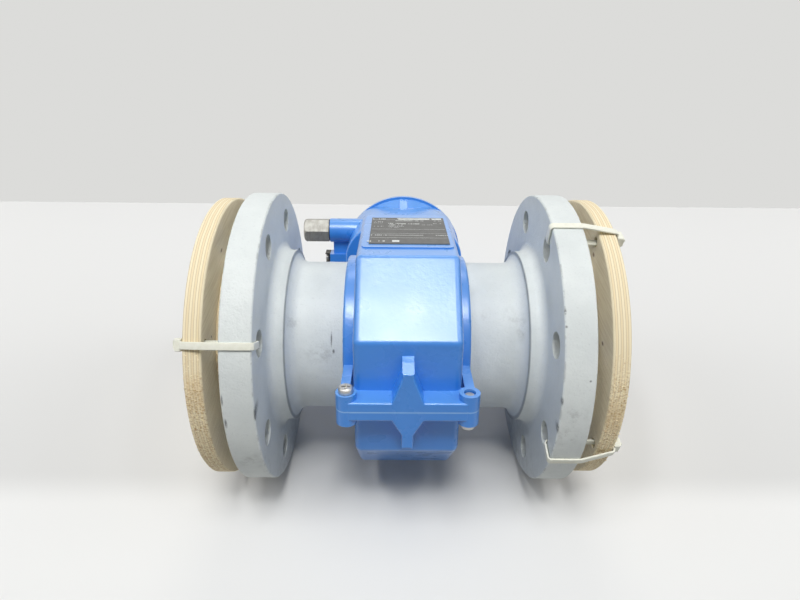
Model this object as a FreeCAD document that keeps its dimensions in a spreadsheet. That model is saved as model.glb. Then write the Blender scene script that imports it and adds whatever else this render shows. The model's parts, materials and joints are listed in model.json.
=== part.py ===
"""Electromagnetic flow meter, remote version: a flanged measuring tube in a two-part sensor shell, with a neck
and a round connection housing.

Each piece is drawn with the neck pointing up: X along the pipe, Z along the neck, and the nameplate side facing -Y.
At the end every piece is laid on its side together, resting on the two flange rims and the rim of the housing.
The origin is the middle of the flow bore. Sizes are in millimetres and degrees.
"""
import FreeCAD, Part
import math
import os

import Sketcher
from FreeCAD import Placement, Rotation, Vector

SIZES = {
    # Pipe: a DN 100, PN 16 flange at each end of a butt-welded tube.
    "face_to_face": 250,
    "flange_diameter": 220,
    "flange_thickness": 20.5,
    "flange_edge": 0.8,
    "raised_face_diameter": 158,
    "raised_face_height": 3,
    "bolt_circle_diameter": 180,
    "bolt_hole": 18,
    "bolt_count": 8,
    "hub_diameter": 133,
    "hub_length": 10.9,
    "hub_step": 9.2,
    "hub_stub": 20,
    "hub_fillet": 7,
    "tube_diameter": 114.3,
    "tube_wall": 4,
    # Liner, drawn through the tube and flared over both raised faces.
    "liner_wall": 3,
    "liner_gap": 0.1,
    "flare_diameter": 156,
    "flare_thickness": 6,
    # Sensor shell: an eight-sided box round the tube, split along its middle plane.
    "shell_width": 70,
    "shell_depth": 167.2,
    "shell_height": 188,
    "shell_corner": 135,
    "shell_wall": 4,
    "shell_edge": 4.5,
    "collar_wall": 5.35,
    "collar_end": 44.7,
    "collar_gap": 0.3,
    "collar_edge": 2,
    "seam": 1,
    "lead_hole": 30,
    # Raised pad and nameplate on the front shell.
    "pad_width": 64,
    "pad_length": 80,
    "pad_centre": 4,
    "pad_rise": 0.8,
    "pad_corner": 4,
    "plate_width": 56.5,
    "plate_length": 67,
    "plate_thickness": 0.6,
    "plate_offset": 1.2,
    # Lug that clamps the two shells together, opposite the neck.
    "lug_width": 76,
    "lug_front": 109.3,
    "lug_thickness": 13.2,
    "lug_edge": 1.2,
    "rib_width": 7.4,
    "rib_tip": 55,
    "rib_root": 66.4,
    "gusset_width": 20.4,
    "gusset_upper": 24,
    "gusset_lower": 17.8,
    "boss_spacing": 78,
    "boss_centre": 102.6,
    "boss_diameter": 13.4,
    "boss_length": 22,
    "web_width": 6.4,
    "web_depth": 14,
    "lug_screw": 6,
    "lug_screw_hole": 7.6,
    "lug_screw_length": 20,
    "lug_screw_head": 9.6,
    "lug_screw_head_height": 4.2,
    "head_recess": 0.3,
    "cross_width": 1.3,
    "cross_length": 5.6,
    "cross_depth": 1.8,
    # Coils, poles and yoke that make the magnetic field.
    "pole_width": 48,
    "pole_span": 64,
    "pole_thickness": 3,
    "pole_gap": 0.3,
    "core_width": 22,
    "core_span": 30,
    "coil_width": 50,
    "coil_span": 62,
    "coil_corner": 7,
    "coil_lift": 3.55,
    "coil_room": 4.5,
    "coil_gap": 0.3,
    "yoke_width": 40,
    "yoke_thickness": 2,
    "yoke_gap": 0.5,
    # Electrodes, across the tube at right angles to the neck.
    "electrode_head": 12,
    "electrode_head_height": 1.6,
    "electrode_lift": 0.5,
    "electrode_pin": 5,
    "electrode_room": 7.55,
    "electrode_gap": 0.1,
    "bush_diameter": 15,
    "bush_flange": 20,
    "bush_rise": 3,
    "nut_across": 9,
    "nut_height": 4,
    # Neck between the shell and the connection housing.
    "neck_plate_width": 64,
    "neck_plate_depth": 78,
    "neck_plate_height": 6,
    "neck_plate_corner": 6,
    "neck_diameter": 54,
    "neck_bore": 36,
    "neck_flange": 84,
    "neck_flange_height": 6,
    "gasket_height": 1,
    "neck_screw": 5,
    "neck_screw_head": 8.5,
    "neck_screw_head_height": 3,
    "neck_screw_length": 12,
    "neck_screw_x": 50,
    "neck_screw_y": 66,
    "housing_screw_circle": 68,
    "lead_bundle": 12,
    # Connection housing.
    "housing_base": 125,
    "housing_width": 114,
    "housing_depth": 106,
    "housing_corner": 34,
    "housing_wall": 4,
    "housing_floor": 5,
    "housing_foot_edge": 2,
    "housing_body": 77,
    "rim_diameter": 126.2,
    "rim_height": 5,
    "flare_foot": 12,
    "flare_foot_diameter": 98,
    "flare_top_diameter": 121,
    "stay_width": 8,
    "stay_foot": 14,
    "mouth_diameter": 108,
    "spigot_diameter": 115,
    "spigot_height": 10,
    # Screwed cover with its seal.
    "cover_diameter": 125,
    "cover_shoulder_diameter": 118,
    "cover_top_diameter": 115,
    "cover_height": 20,
    "cover_wall": 4,
    "cover_gap": 0.3,
    "cover_thread_end": 1.5,
    "cover_grip": 26,
    "cover_grip_place": 26,
    "cover_grip_width": 8,
    "cover_grip_height": 5,
    "seal_ring": 120.4,
    "seal_section": 2.4,
    "seal_gap": 0.3,
    # Cable entries on the left side of the housing.
    "entry_height": 45,
    "entry_inset": 18,
    "entry_reach": 19,
    "entry_diameter": 24.6,
    "entry_thread": 18.5,
    "adapter_across": 22,
    "adapter_length": 25.5,
    "adapter_edge": 1.5,
    "adapter_chamfer": 45,
    "adapter_turn": 9.4,
    "adapter_bore": 14.5,
    "adapter_thread_length": 14,
    "washer_thickness": 1.2,
    "washer_diameter": 21.6,
    "plug_diameter": 23,
    "plug_head": 5,
    "plug_slot": 3,
    # Earth terminal below the front cable entry.
    "earth_reach": 20,
    "earth_offset": 5.5,
    "earth_width": 11,
    "earth_block": 15,
    "earth_web_reach": 16,
    "earth_web": 9,
    "earth_screw": 5,
    "earth_screw_length": 12,
    "earth_head": 8.5,
    "earth_head_height": 3,
    "clamp_width": 12,
    "clamp_thickness": 2,
    "clamp_lip": 4,
    # Terminal board inside the housing.
    "standoff_height": 24,
    "standoff_diameter": 7,
    "board_width": 76,
    "board_depth": 62,
    "board_thickness": 1.6,
    "board_hole_x": 66,
    "board_hole_y": 52,
    "terminal_width": 64,
    "terminal_depth": 14,
    "terminal_height": 11,
    "terminal_count": 8,
    "terminal_pitch": 7.5,
    "terminal_screw": 4,
    "terminal_screw_height": 1,
    # Plywood discs tied over both flange faces for transport.
    "disc_diameter": 212,
    "disc_thickness": 11.5,
    "disc_edge": 0.8,
    "disc_facing": 2.6,
    "disc_facing_diameter": 150,
    "disc_shift": 2.6,
    "tie_hole": 7,
    "tie_hole_radius": 97,
    # Cable ties.
    "tie_width": 4.8,
    "tie_thickness": 1.3,
    "tie_slack": 1.2,
    "tie_bend": 2.2,
    "tie_head_width": 8,
    "tie_head_length": 8.4,
    "tie_head_height": 6,
    # How far outside a face the tool that cuts it starts.
    "cut_past": 1,
}

# Degrees from the side opposite the neck, towards the nameplate, of the bolt hole that each tie goes through.
TIES = {"cable_tie_left": (-1, 22.5), "cable_tie_right_upper": (1, 67.5), "cable_tie_right_lower": (1, -22.5)}
# How far each disc sits towards the neck: the right one is tied on off its middle.
DISC_SHIFTS = {-1: "0", 1: "disc_shift"}

doc = FreeCAD.newDocument("flow_meter")
sheet = doc.addObject("Spreadsheet::Sheet", "size")
for row, (alias, number) in enumerate(SIZES.items(), start=1):
    sheet.set(f"A{row}", alias.replace("_", " "))
    sheet.set(f"B{row}", str(number))
    sheet.setAlias(f"B{row}", alias)
doc.recompute()

PIECES = []
NEAR = 0.01
PARALLEL = 0.999


# ---------------------------------------------------------------- helpers
def bound(text):
    """The same expression with each size name pointed at its cell."""
    words = []
    word = ""
    for letter in text + " ":
        if letter.isalnum() or letter == "_":
            word += letter
            continue
        words.append(f"size.{word}" if word in SIZES else word)
        words.append(letter)
        word = ""
    return "".join(words).strip()


def value(text):
    """The number that an expression of sizes comes to."""
    return float(sheet.evalExpression(bound(text)))


def bind(thing, **expressions):
    """Tie properties of an object to expressions of sizes."""
    for name, text in expressions.items():
        thing.setExpression(name, bound(text))
    return thing


def put(thing, at, turn=None):
    """Place an object, its corner or centre held by three expressions."""
    if turn:
        thing.Placement.Rotation = turn
    for axis, text in zip("xyz", at):
        thing.setExpression(f"Placement.Base.{axis}", bound(text))
    return thing


TURNS = {
    "x": Rotation(Vector(0, 1, 0), 90),
    "-x": Rotation(Vector(0, 1, 0), -90),
    "y": Rotation(Vector(1, 0, 0), -90),
    "-y": Rotation(Vector(1, 0, 0), 90),
    "z": Rotation(),
    "-z": Rotation(Vector(1, 0, 0), 180),
}


def cylinder(name, diameter, height, at=("0", "0", "0"), along="z"):
    """A cylinder that starts at a point and runs along an axis."""
    thing = doc.addObject("Part::Cylinder", name)
    bind(thing, Radius=f"({diameter}) / 2", Height=height)
    return put(thing, at, TURNS[along])


def rod(name, diameter, length, at=("0", "0", "0"), along="x"):
    """A cylinder with its middle at a point."""
    start = list(at)
    axis = "xyz".index(along)
    start[axis] = f"{start[axis]} - ({length}) / 2"
    return cylinder(name, diameter, length, start, along)


def cone(name, diameter, end_diameter, height, at, along="z"):
    """A cone that starts at a point and runs along an axis."""
    thing = doc.addObject("Part::Cone", name)
    bind(thing, Radius1=f"({diameter}) / 2", Radius2=f"({end_diameter}) / 2", Height=height)
    return put(thing, at, TURNS[along])


def box(name, size, middle):
    """A box with its middle at a point."""
    thing = doc.addObject("Part::Box", name)
    bind(thing, Length=size[0], Width=size[1], Height=size[2])
    return put(thing, [f"{at} - ({side}) / 2" for at, side in zip(middle, size)])


def cut(name, base, *tools):
    """The base with every tool taken out of it."""
    for number, tool in enumerate(tools):
        result = doc.addObject("Part::Cut", name if number == len(tools) - 1 else f"{name}_cut")
        result.Base = base
        result.Tool = tool
        base = result
    return base


def fuse(name, *things):
    """All the things as one solid."""
    result = doc.addObject("Part::MultiFuse", name)
    result.Shapes = list(things)
    result.Refine = True
    return result


def common(name, *things):
    """What all the things share."""
    result = doc.addObject("Part::MultiCommon", name)
    result.Shapes = list(things)
    return result


def group(name, things):
    """Separate solids kept together, or one solid under a placement of its own."""
    result = doc.addObject("Part::Compound", name)
    result.Links = list(things)
    return result


def soften(name, base, radius, wanted):
    """Round the edges of a solid that a test picks out."""
    doc.recompute()
    picked = [number for number, edge in enumerate(base.Shape.Edges, start=1) if wanted(edge)]
    result = doc.addObject("Part::Fillet", name)
    result.Base = base
    result.Edges = [(number, radius, radius) for number in picked]
    return result


def chamfer(name, base, size, wanted):
    """Bevel the edges of a solid that a test picks out."""
    doc.recompute()
    picked = [number for number, edge in enumerate(base.Shape.Edges, start=1) if wanted(edge)]
    result = doc.addObject("Part::Chamfer", name)
    result.Base = base
    result.Edges = [(number, size, size) for number in picked]
    return result


def straight(edge):
    return edge.Curve.TypeId == "Part::GeomLine"


def along(edge, axis):
    """Does this edge run straight along an axis?"""
    return straight(edge) and abs(edge.tangentAt(edge.FirstParameter).dot(axis)) > PARALLEL


def ring_of(edge, radius, axis=None):
    """Is this edge part of a circle of this radius?"""
    same = edge.Curve.TypeId == "Part::GeomCircle" and abs(edge.Curve.Radius - radius) < NEAR
    return same and (axis is None or abs(edge.Curve.Axis.dot(axis)) > PARALLEL)


def origin_part(body, role):
    """One of a body's own planes or axes."""
    return next(feature for feature in body.Origin.OriginFeatures if feature.Role == role)


def outline(body, role, corners):
    """A closed sketch on one of the body's planes, each corner held by two expressions of sizes."""
    sketch = body.newObject("Sketcher::SketchObject", f"{body.Name}_outline")
    sketch.AttachmentSupport = (origin_part(body, role), "")
    sketch.MapMode = "FlatFace"
    points = [Vector(value(across), value(up), 0) for across, up in corners]
    for number, point in enumerate(points):
        sketch.addGeometry(Part.LineSegment(point, points[(number + 1) % len(points)]), False)
    for number in range(len(points)):
        sketch.addConstraint(Sketcher.Constraint("Coincident", number, 2, (number + 1) % len(points), 1))
    for number, corner in enumerate(corners):
        for kind, text in zip(("DistanceX", "DistanceY"), corner):
            held = sketch.addConstraint(Sketcher.Constraint(kind, -1, 1, number, 1, value(text)))
            sketch.setExpression(f"Constraints[{held}]", bound(text))
    return sketch


def turned(name, role, axis, corners):
    """A body turned round one axis of the sketch plane."""
    body = doc.addObject("PartDesign::Body", name)
    turn = body.newObject("PartDesign::Revolution", f"{name}_turn")
    turn.Profile = outline(body, role, corners)
    turn.ReferenceAxis = (turn.Profile[0], [axis])
    turn.Angle = 360
    doc.recompute()
    return body


def padded(name, role, length, corners):
    """A body padded to both sides of the sketch plane."""
    body = doc.addObject("PartDesign::Body", name)
    pad = body.newObject("PartDesign::Pad", f"{name}_pad")
    pad.Profile = outline(body, role, corners)
    pad.SideType = "Symmetric"
    bind(pad, Length=length)
    doc.recompute()
    return body


def piece(label, thing):
    """Keep an object as one named piece of the meter."""
    thing.Label = label
    PIECES.append(thing)
    return thing


# ---------------------------------------------------------------- pipe
RIM = "(face_to_face / 2 - flare_thickness - raised_face_height)"
HUB_END = f"({RIM} - flange_thickness - hub_length)"
TUBE_END = f"({HUB_END} - hub_stub)"
TUBE_BORE = "(tube_diameter - 2 * tube_wall)"


def flange(label, side):
    """A flange with a raised face, a circle of bolt holes, and a hub that steps down to a stub of the tube."""
    bore = f"{TUBE_BORE} / 2"
    back = f"{side} * ({RIM} - flange_thickness)"
    body = turned(label, "XZ_Plane", "H_Axis", [
        (f"{side} * {TUBE_END}", bore),
        (f"{side} * ({RIM} + raised_face_height)", bore),
        (f"{side} * ({RIM} + raised_face_height)", "raised_face_diameter / 2"),
        (f"{side} * {RIM}", "raised_face_diameter / 2"),
        (f"{side} * {RIM}", "flange_diameter / 2 - flange_edge"),
        (f"{side} * ({RIM} - flange_edge)", "flange_diameter / 2"),
        (f"{back} + {side} * flange_edge", "flange_diameter / 2"),
        (back, "flange_diameter / 2 - flange_edge"),
        (back, "hub_diameter / 2"),
        (f"{side} * {HUB_END}", "hub_diameter / 2"),
        (f"{side} * {HUB_END}", "tube_diameter / 2"),
        (f"{side} * {TUBE_END}", "tube_diameter / 2"),
    ])
    hole = body.newObject("Sketcher::SketchObject", f"{label}_hole")
    hole.AttachmentSupport = (origin_part(body, "YZ_Plane"), "")
    hole.MapMode = "FlatFace"
    hole.addGeometry(Part.Circle(Vector(), Vector(0, 0, 1), value("bolt_hole / 2")), False)
    for kind, text in (("DistanceX", "bolt_circle_diameter / 2 * sin(180 / bolt_count)"),
                       ("DistanceY", "-bolt_circle_diameter / 2 * cos(180 / bolt_count)")):
        held = hole.addConstraint(Sketcher.Constraint(kind, -1, 1, 0, 3, value(text)))
        hole.setExpression(f"Constraints[{held}]", bound(text))
    held = hole.addConstraint(Sketcher.Constraint("Diameter", 0, value("bolt_hole")))
    hole.setExpression(f"Constraints[{held}]", bound("bolt_hole"))
    pocket = body.newObject("PartDesign::Pocket", f"{label}_pocket")
    pocket.Profile = hole
    pocket.SideType = "Symmetric"
    pocket.Type = "ThroughAll"
    doc.recompute()
    circle = body.newObject("PartDesign::PolarPattern", f"{label}_bolt_circle")
    circle.Originals = [pocket]
    circle.Axis = (origin_part(body, "X_Axis"), [""])
    circle.Angle = 360
    bind(circle, Occurrences="bolt_count")
    body.Tip = circle
    doc.recompute()
    before = circle
    for name, diameter, place, radius in (("root", "hub_diameter", back, "hub_fillet"),
                                          ("step", "tube_diameter", f"{side} * {HUB_END}", "hub_step")):
        rings = [f"Edge{number}" for number, edge in enumerate(before.Shape.Edges, start=1)
                 if ring_of(edge, value(f"{diameter} / 2")) and abs(edge.Curve.Center.x - value(place)) < NEAR]
        fillet = body.newObject("PartDesign::Fillet", f"{label}_{name}")
        fillet.Base = (before, rings)
        bind(fillet, Radius=radius)
        doc.recompute()
        before = fillet
    return piece(label, body)


def liner():
    """A thin tube through the whole meter, flared flat over both raised faces."""
    corners = []
    for side in (-1, 1):
        half = [
            (f"{side} * face_to_face / 2", f"{TUBE_BORE} / 2 - liner_gap - liner_wall"),
            (f"{side} * face_to_face / 2", "flare_diameter / 2"),
            (f"{side} * (face_to_face / 2 - flare_thickness)", "flare_diameter / 2"),
            (f"{side} * (face_to_face / 2 - flare_thickness)", f"{TUBE_BORE} / 2 - liner_gap"),
        ]
        corners += half if side < 0 else half[::-1]
    body = turned("liner_tube", "XZ_Plane", "H_Axis", corners)
    pin = rod("liner_pin_hole", "electrode_pin + 2 * electrode_gap", "tube_diameter", along="y")
    return piece("liner", cut("liner", body, pin))


def measuring_tube():
    """A non-magnetic tube, welded between the hubs, with a hole on each side for an electrode bush."""
    outer = rod("tube_outer", "tube_diameter", f"2 * {TUBE_END}")
    bore = rod("tube_bore", TUBE_BORE, f"2 * {TUBE_END} + tube_wall")
    holes = rod("tube_bush_hole", "bush_diameter + 2 * electrode_gap", "2 * tube_diameter", along="y")
    return piece("measuring_tube", cut("measuring_tube", outer, bore, holes))


# ---------------------------------------------------------------- sensor shell
COLLAR = "(tube_diameter + 2 * collar_wall)"


def octagon(name, inset, width):
    """An eight-sided prism along the pipe, its walls moved in by an inset."""
    upright = box(f"{name}_square", (width, f"shell_depth - 2 * ({inset})", f"shell_height - 2 * ({inset})"),
                  ("0", "0", "0"))
    facets = doc.addObject("Part::Box", f"{name}_facets")
    side = f"(shell_corner * sqrt(2) - 2 * ({inset}))"
    bind(facets, Length=width, Width=side, Height=side)
    put(facets, (f"-({width}) / 2", "0", f"-{side} / sqrt(2)"), Rotation(Vector(1, 0, 0), 45))
    return common(name, upright, facets)


def lug():
    """The clamping flange of both shells with its gusseted cross rib, screw bosses and the webs behind them."""
    depth = "(lug_front - shell_height / 2 + shell_wall)"
    flange_middle = f"-lug_front + {depth} / 2"
    plate = box("lug_plate", ("lug_width", "lug_thickness", depth), ("0", "0", flange_middle))
    rib = padded("lug_rib", "YZ_Plane", "rib_width", [
        ("-rib_tip / 2", "-lug_front"),
        ("rib_tip / 2", "-lug_front"),
        ("rib_root / 2", "-shell_height / 2 + shell_wall"),
        ("-rib_root / 2", "-shell_height / 2 + shell_wall"),
    ])
    gusset = padded("lug_gusset", "XY_Plane", depth, [
        ("-gusset_width / 2", "lug_thickness / 2"),
        ("-gusset_width / 2", "-lug_thickness / 2"),
        ("-rib_width / 2", "-gusset_upper"),
        ("rib_width / 2", "-gusset_upper"),
        ("gusset_width / 2", "-lug_thickness / 2"),
        ("gusset_width / 2", "lug_thickness / 2"),
        ("rib_width / 2", "gusset_lower"),
        ("-rib_width / 2", "gusset_lower"),
    ])
    gusset = put(group("lug_gusset_placed", [gusset]), ("0", "0", flange_middle))
    cross = fuse("lug_cross", plate, rib, gusset)
    front = value("-lug_front")
    cross = soften("lug_cross_round", cross, value("lug_edge"), lambda edge:
                   abs(edge.BoundBox.ZMin - front) < NEAR and abs(edge.BoundBox.ZMax - front) < NEAR)
    things = [cross]
    for side, name in ((-1, "left"), (1, "right")):
        middle = f"{side} * boss_spacing / 2"
        things.append(rod(f"boss_{name}", "boss_diameter", "boss_length", (middle, "0", "-boss_centre"), "y"))
        web = f"(boss_centre - {COLLAR} / 2 + 1.5 * collar_edge)"
        things.append(box(f"web_{name}", ("web_width", "web_depth", web),
                          (f"{side} * (collar_end - (collar_edge + web_width) / 2)", "0",
                           f"-boss_centre + {web} / 2")))
    return fuse("lug", *things)


def shell():
    """Both shells in one, before they are split: box, collars on the tube, lug and clear inside."""
    x_axis = Vector(1, 0, 0)
    casing = octagon("shell_box", "0", "shell_width")
    casing = soften("shell_box_soft", casing, value("shell_edge"), lambda edge: straight(edge))
    collar = rod("collar", COLLAR, "2 * collar_end")
    radius = value(f"{COLLAR} / 2")
    collar = soften("collar_soft", collar, value("collar_edge"), lambda edge: ring_of(edge, radius, x_axis))
    solid = fuse("shell_outside", casing, collar, lug())
    hollow = octagon("shell_hollow", "shell_wall", "shell_width - 2 * shell_wall")
    passage = rod("shell_passage", "tube_diameter + 2 * collar_gap", "3 * collar_end")
    leads = cylinder("shell_lead_hole", "lead_hole", "shell_height")
    screws = [rod(f"lug_hole_{name}", "lug_screw_hole", "2 * boss_length",
                  (f"{side} * boss_spacing / 2", "0", "-boss_centre"), "y")
              for side, name in ((-1, "left"), (1, "right"))]
    recesses = [cylinder(f"lug_recess_{name}", "lug_screw_head + 2 * collar_gap", "boss_length",
                         (f"{side} * boss_spacing / 2", f"{side} * (boss_length / 2 - head_recess)", "-boss_centre"),
                         "y" if side > 0 else "-y")
                for side, name in ((-1, "left"), (1, "right"))]
    tapped = [cylinder(f"shell_tapped_{number}", "neck_screw", "shell_height / 2", (x, y, "shell_height / 4"))
              for number, (x, y) in enumerate(neck_screw_places(), start=1)]
    return cut("shell_whole", solid, hollow, passage, leads, *screws, *recesses, *tapped)


def neck_screw_places():
    """The four corners of the neck's foot plate."""
    return [(f"{x} * neck_screw_x / 2", f"{y} * neck_screw_y / 2") for x in (-1, 1) for y in (-1, 1)]


def half_shells():
    """The whole shell split along its middle plane, with a flat gasket of the same outline between the halves."""
    whole = shell()
    reach = "(shell_depth + pad_rise)"
    room = ("2 * collar_end + shell_width", reach, "3 * lug_front")
    front_room = box("front_room", room, ("0", f"-{reach} / 2 - seam / 2", "0"))
    rear_room = box("rear_room", room, ("0", f"{reach} / 2 + seam / 2", "0"))
    seam_room = box("seam_room", (room[0], "seam", room[2]), ("0", "0", "0"))
    depth = "(pad_rise + shell_wall / 2)"
    pad = box("plate_pad", ("pad_width", depth, "pad_length"),
              ("0", f"-shell_depth / 2 - pad_rise + {depth} / 2", "pad_centre"))
    pad = soften("plate_pad_soft", pad, value("pad_corner"), lambda edge: along(edge, Vector(0, 1, 0)))
    piece("half_shell_front", fuse("half_shell_front", common("front_half", whole, front_room), pad))
    piece("half_shell_rear", common("half_shell_rear", whole, rear_room))
    piece("shell_gasket", common("shell_gasket", whole, seam_room))


def cross_screw(label, diameter, length, head, head_height, at, along_axis):
    """A pan-head screw with a cross recess: its head starts at a point, and its shank runs back from there."""
    opposite = along_axis[1:] if along_axis.startswith("-") else f"-{along_axis}"
    shank = cylinder(f"{label}_shank", diameter, length, at, opposite)
    top = cylinder(f"{label}_head", head, head_height, at, along_axis)
    radius = value(f"({head}) / 2")
    top = soften(f"{label}_pan", top, value(f"({head_height}) / 3"), lambda edge: ring_of(edge, radius)
                 and (edge.Curve.Center - far_end(at, along_axis, head_height)).Length < NEAR)
    axis = "xyz".index(along_axis[-1])
    sign = -1 if along_axis.startswith("-") else 1
    slots = []
    for number, across in enumerate(index for index in range(3) if index != axis):
        size = ["cross_width"] * 3
        size[across] = f"({head}) * cross_length / lug_screw_head"
        size[axis] = "2 * cross_depth"
        middle = list(at)
        middle[axis] = f"{middle[axis]} + {sign} * ({head_height})"
        slots.append(box(f"{label}_slot_{number}", size, middle))
    return cut(label, fuse(f"{label}_blank", shank, top), *slots)


def far_end(at, along_axis, length):
    """The point a length away from a point, along an axis."""
    axis = "xyz".index(along_axis[-1])
    sign = -1 if along_axis.startswith("-") else 1
    end = [value(text) for text in at]
    end[axis] += sign * value(length)
    return Vector(*end)


def lug_screws():
    """One screw in each boss, put in from opposite sides, so that the two shells are alike."""
    for side, name in ((-1, "left"), (1, "right")):
        seat = f"{side} * (boss_length / 2 - head_recess)"
        label = f"lug_screw_{name}"
        piece(label, cross_screw(label, "lug_screw", "lug_screw_length", "lug_screw_head", "lug_screw_head_height",
                                 (f"{side} * boss_spacing / 2", seat, "-boss_centre"), "y" if side > 0 else "-y"))


# ---------------------------------------------------------------- coils and electrodes
YOKE_TOP = "(shell_height / 2 - shell_wall - yoke_gap)"
YOKE_SIDE = "(shell_depth / 2 - shell_wall - yoke_gap - yoke_thickness)"
COIL_SEAT = "(tube_diameter / 2 + pole_gap + pole_thickness + coil_lift)"
COIL_HEIGHT = f"({YOKE_TOP} - yoke_thickness - {COIL_SEAT} - coil_room)"


def magnet(end, side):
    """A curved pole with its core, and the coil round the core, on one side of the tube."""
    inner = "(tube_diameter + 2 * pole_gap)"
    outer = f"({inner} + 2 * pole_thickness)"
    sheet_metal = cut(f"pole_sheet_{end}", rod(f"pole_out_{end}", outer, "pole_width"),
                      rod(f"pole_in_{end}", inner, "2 * pole_width"))
    sector = box(f"pole_sector_{end}", ("2 * pole_width", "pole_span", "tube_diameter"),
                 ("0", "0", f"{side} * tube_diameter / 2"))
    height = f"({YOKE_TOP} - yoke_thickness)"
    core = cut(f"core_{end}", box(f"core_block_{end}", ("core_width", "core_span", height),
                                  ("0", "0", f"{side} * {height} / 2")),
               rod(f"core_seat_{end}", inner, "2 * pole_width"))
    piece(f"pole_core_{end}", fuse(f"pole_core_{end}", common(f"pole_{end}", sheet_metal, sector), core))
    middle = f"{side} * ({COIL_SEAT} + {COIL_HEIGHT} / 2)"
    coil = box(f"coil_block_{end}", ("coil_width", "coil_span", COIL_HEIGHT), ("0", "0", middle))
    coil = soften(f"coil_soft_{end}", coil, value("coil_corner"), lambda edge: along(edge, Vector(0, 0, 1)))
    window = box(f"coil_window_{end}", ("core_width + 2 * coil_gap", "core_span + 2 * coil_gap",
                                        f"2 * {COIL_HEIGHT}"), ("0", "0", middle))
    piece(f"field_coil_{end}", cut(f"field_coil_{end}", coil, window))


def return_yoke():
    """A band of sheet steel just inside the shell that closes the magnetic circuit."""
    outer = octagon("yoke_outer", "shell_wall + yoke_gap", "yoke_width")
    inner = octagon("yoke_inner", "shell_wall + yoke_gap + yoke_thickness", "2 * yoke_width")
    piece("return_yoke", cut("return_yoke", outer, inner))


def electrode(end, side):
    """A measuring electrode through the liner, its insulating bush in the tube wall and the nut that pulls it up."""
    facing = "y" if side > 0 else "-y"
    liner_bore = f"({TUBE_BORE} / 2 - liner_gap - liner_wall)"
    head_back = f"({liner_bore} - electrode_lift)"
    length = f"({YOKE_SIDE} - electrode_room - {head_back})"
    head = cylinder(f"electrode_head_{end}", "electrode_head", "electrode_head_height",
                    ("0", f"{side} * ({head_back} - electrode_head_height)", "0"), facing)
    pin = cylinder(f"electrode_pin_{end}", "electrode_pin", length, ("0", f"{side} * {head_back}", "0"), facing)
    piece(f"electrode_{end}", fuse(f"electrode_{end}", head, pin))
    start = f"({TUBE_BORE} / 2)"
    stem = cylinder(f"bush_stem_{end}", "bush_diameter", "tube_wall + liner_gap",
                    ("0", f"{side} * {start}", "0"), facing)
    collar = cylinder(f"bush_collar_{end}", "bush_flange", "bush_rise",
                      ("0", f"{side} * (tube_diameter / 2 + liner_gap)", "0"), facing)
    hole = cylinder(f"bush_hole_{end}", "electrode_pin + 2 * electrode_gap", f"2 * {length}",
                    ("0", f"{side} * {head_back}", "0"), facing)
    piece(f"electrode_bush_{end}", cut(f"electrode_bush_{end}", fuse(f"bush_{end}", stem, collar), hole))
    seat = "(tube_diameter / 2 + liner_gap + bush_rise)"
    nut = doc.addObject("Part::Prism", f"nut_{end}")
    nut.Polygon = 6
    bind(nut, Circumradius="nut_across / sqrt(3)", Height="nut_height")
    put(nut, ("0", f"{side} * {seat}", "0"), TURNS[facing])
    thread = cylinder(f"nut_hole_{end}", "electrode_pin", "4 * nut_height", ("0", f"{side} * {head_back}", "0"),
                      facing)
    piece(f"electrode_nut_{end}", cut(f"electrode_nut_{end}", nut, thread))


# ---------------------------------------------------------------- neck
SHELL_TOP = "(shell_height / 2)"
NECK_TOP = "(housing_base - gasket_height)"


def screw_group(label, places, diameter, length, head, head_height):
    """Equal screws with their heads up, as one group of separate solids."""
    blanks = [cross_screw(f"{label}_{number}", diameter, length, head, head_height, at, "z")
              for number, at in enumerate(places, start=1)]
    return piece(label, group(label, blanks))


def neck():
    """A hollow casting: foot plate on the shell, round stem and a round flange under the housing."""
    foot = box("neck_foot", ("neck_plate_width", "neck_plate_depth", "neck_plate_height"),
               ("0", "0", f"{SHELL_TOP} + neck_plate_height / 2"))
    foot = soften("neck_foot_soft", foot, value("neck_plate_corner"), lambda edge: along(edge, Vector(0, 0, 1)))
    stem = cylinder("neck_stem", "neck_diameter", f"{NECK_TOP} - {SHELL_TOP}", ("0", "0", SHELL_TOP))
    flange_plate = cylinder("neck_flange_plate", "neck_flange", "neck_flange_height",
                            ("0", "0", f"{NECK_TOP} - neck_flange_height"))
    bore = cylinder("neck_bore_hole", "neck_bore", "2 * housing_base")
    holes = [cylinder(f"neck_foot_hole_{number}", "neck_screw", "2 * neck_plate_height",
                      (x, y, f"{SHELL_TOP} - neck_plate_height / 2"))
             for number, (x, y) in enumerate(neck_screw_places(), start=1)]
    tapped = [cylinder(f"neck_tapped_{number}", "neck_screw", "2 * neck_flange_height",
                       (x, y, f"{NECK_TOP} - 2 * neck_flange_height + gasket_height"))
              for number, (x, y) in enumerate(housing_screw_places(), start=1)]
    piece("neck", cut("neck", fuse("neck_blank", foot, stem, flange_plate), bore, *holes, *tapped))
    seats = [(x, y, f"{SHELL_TOP} + neck_plate_height") for x, y in neck_screw_places()]
    screw_group("neck_screws", seats, "neck_screw", "neck_screw_length", "neck_screw_head", "neck_screw_head_height")


def housing_screw_places():
    """Four places on a circle, between the axes."""
    half = "housing_screw_circle / 2 / sqrt(2)"
    return [(f"{x} * {half}", f"{y} * {half}") for x in (-1, 1) for y in (-1, 1)]


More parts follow.
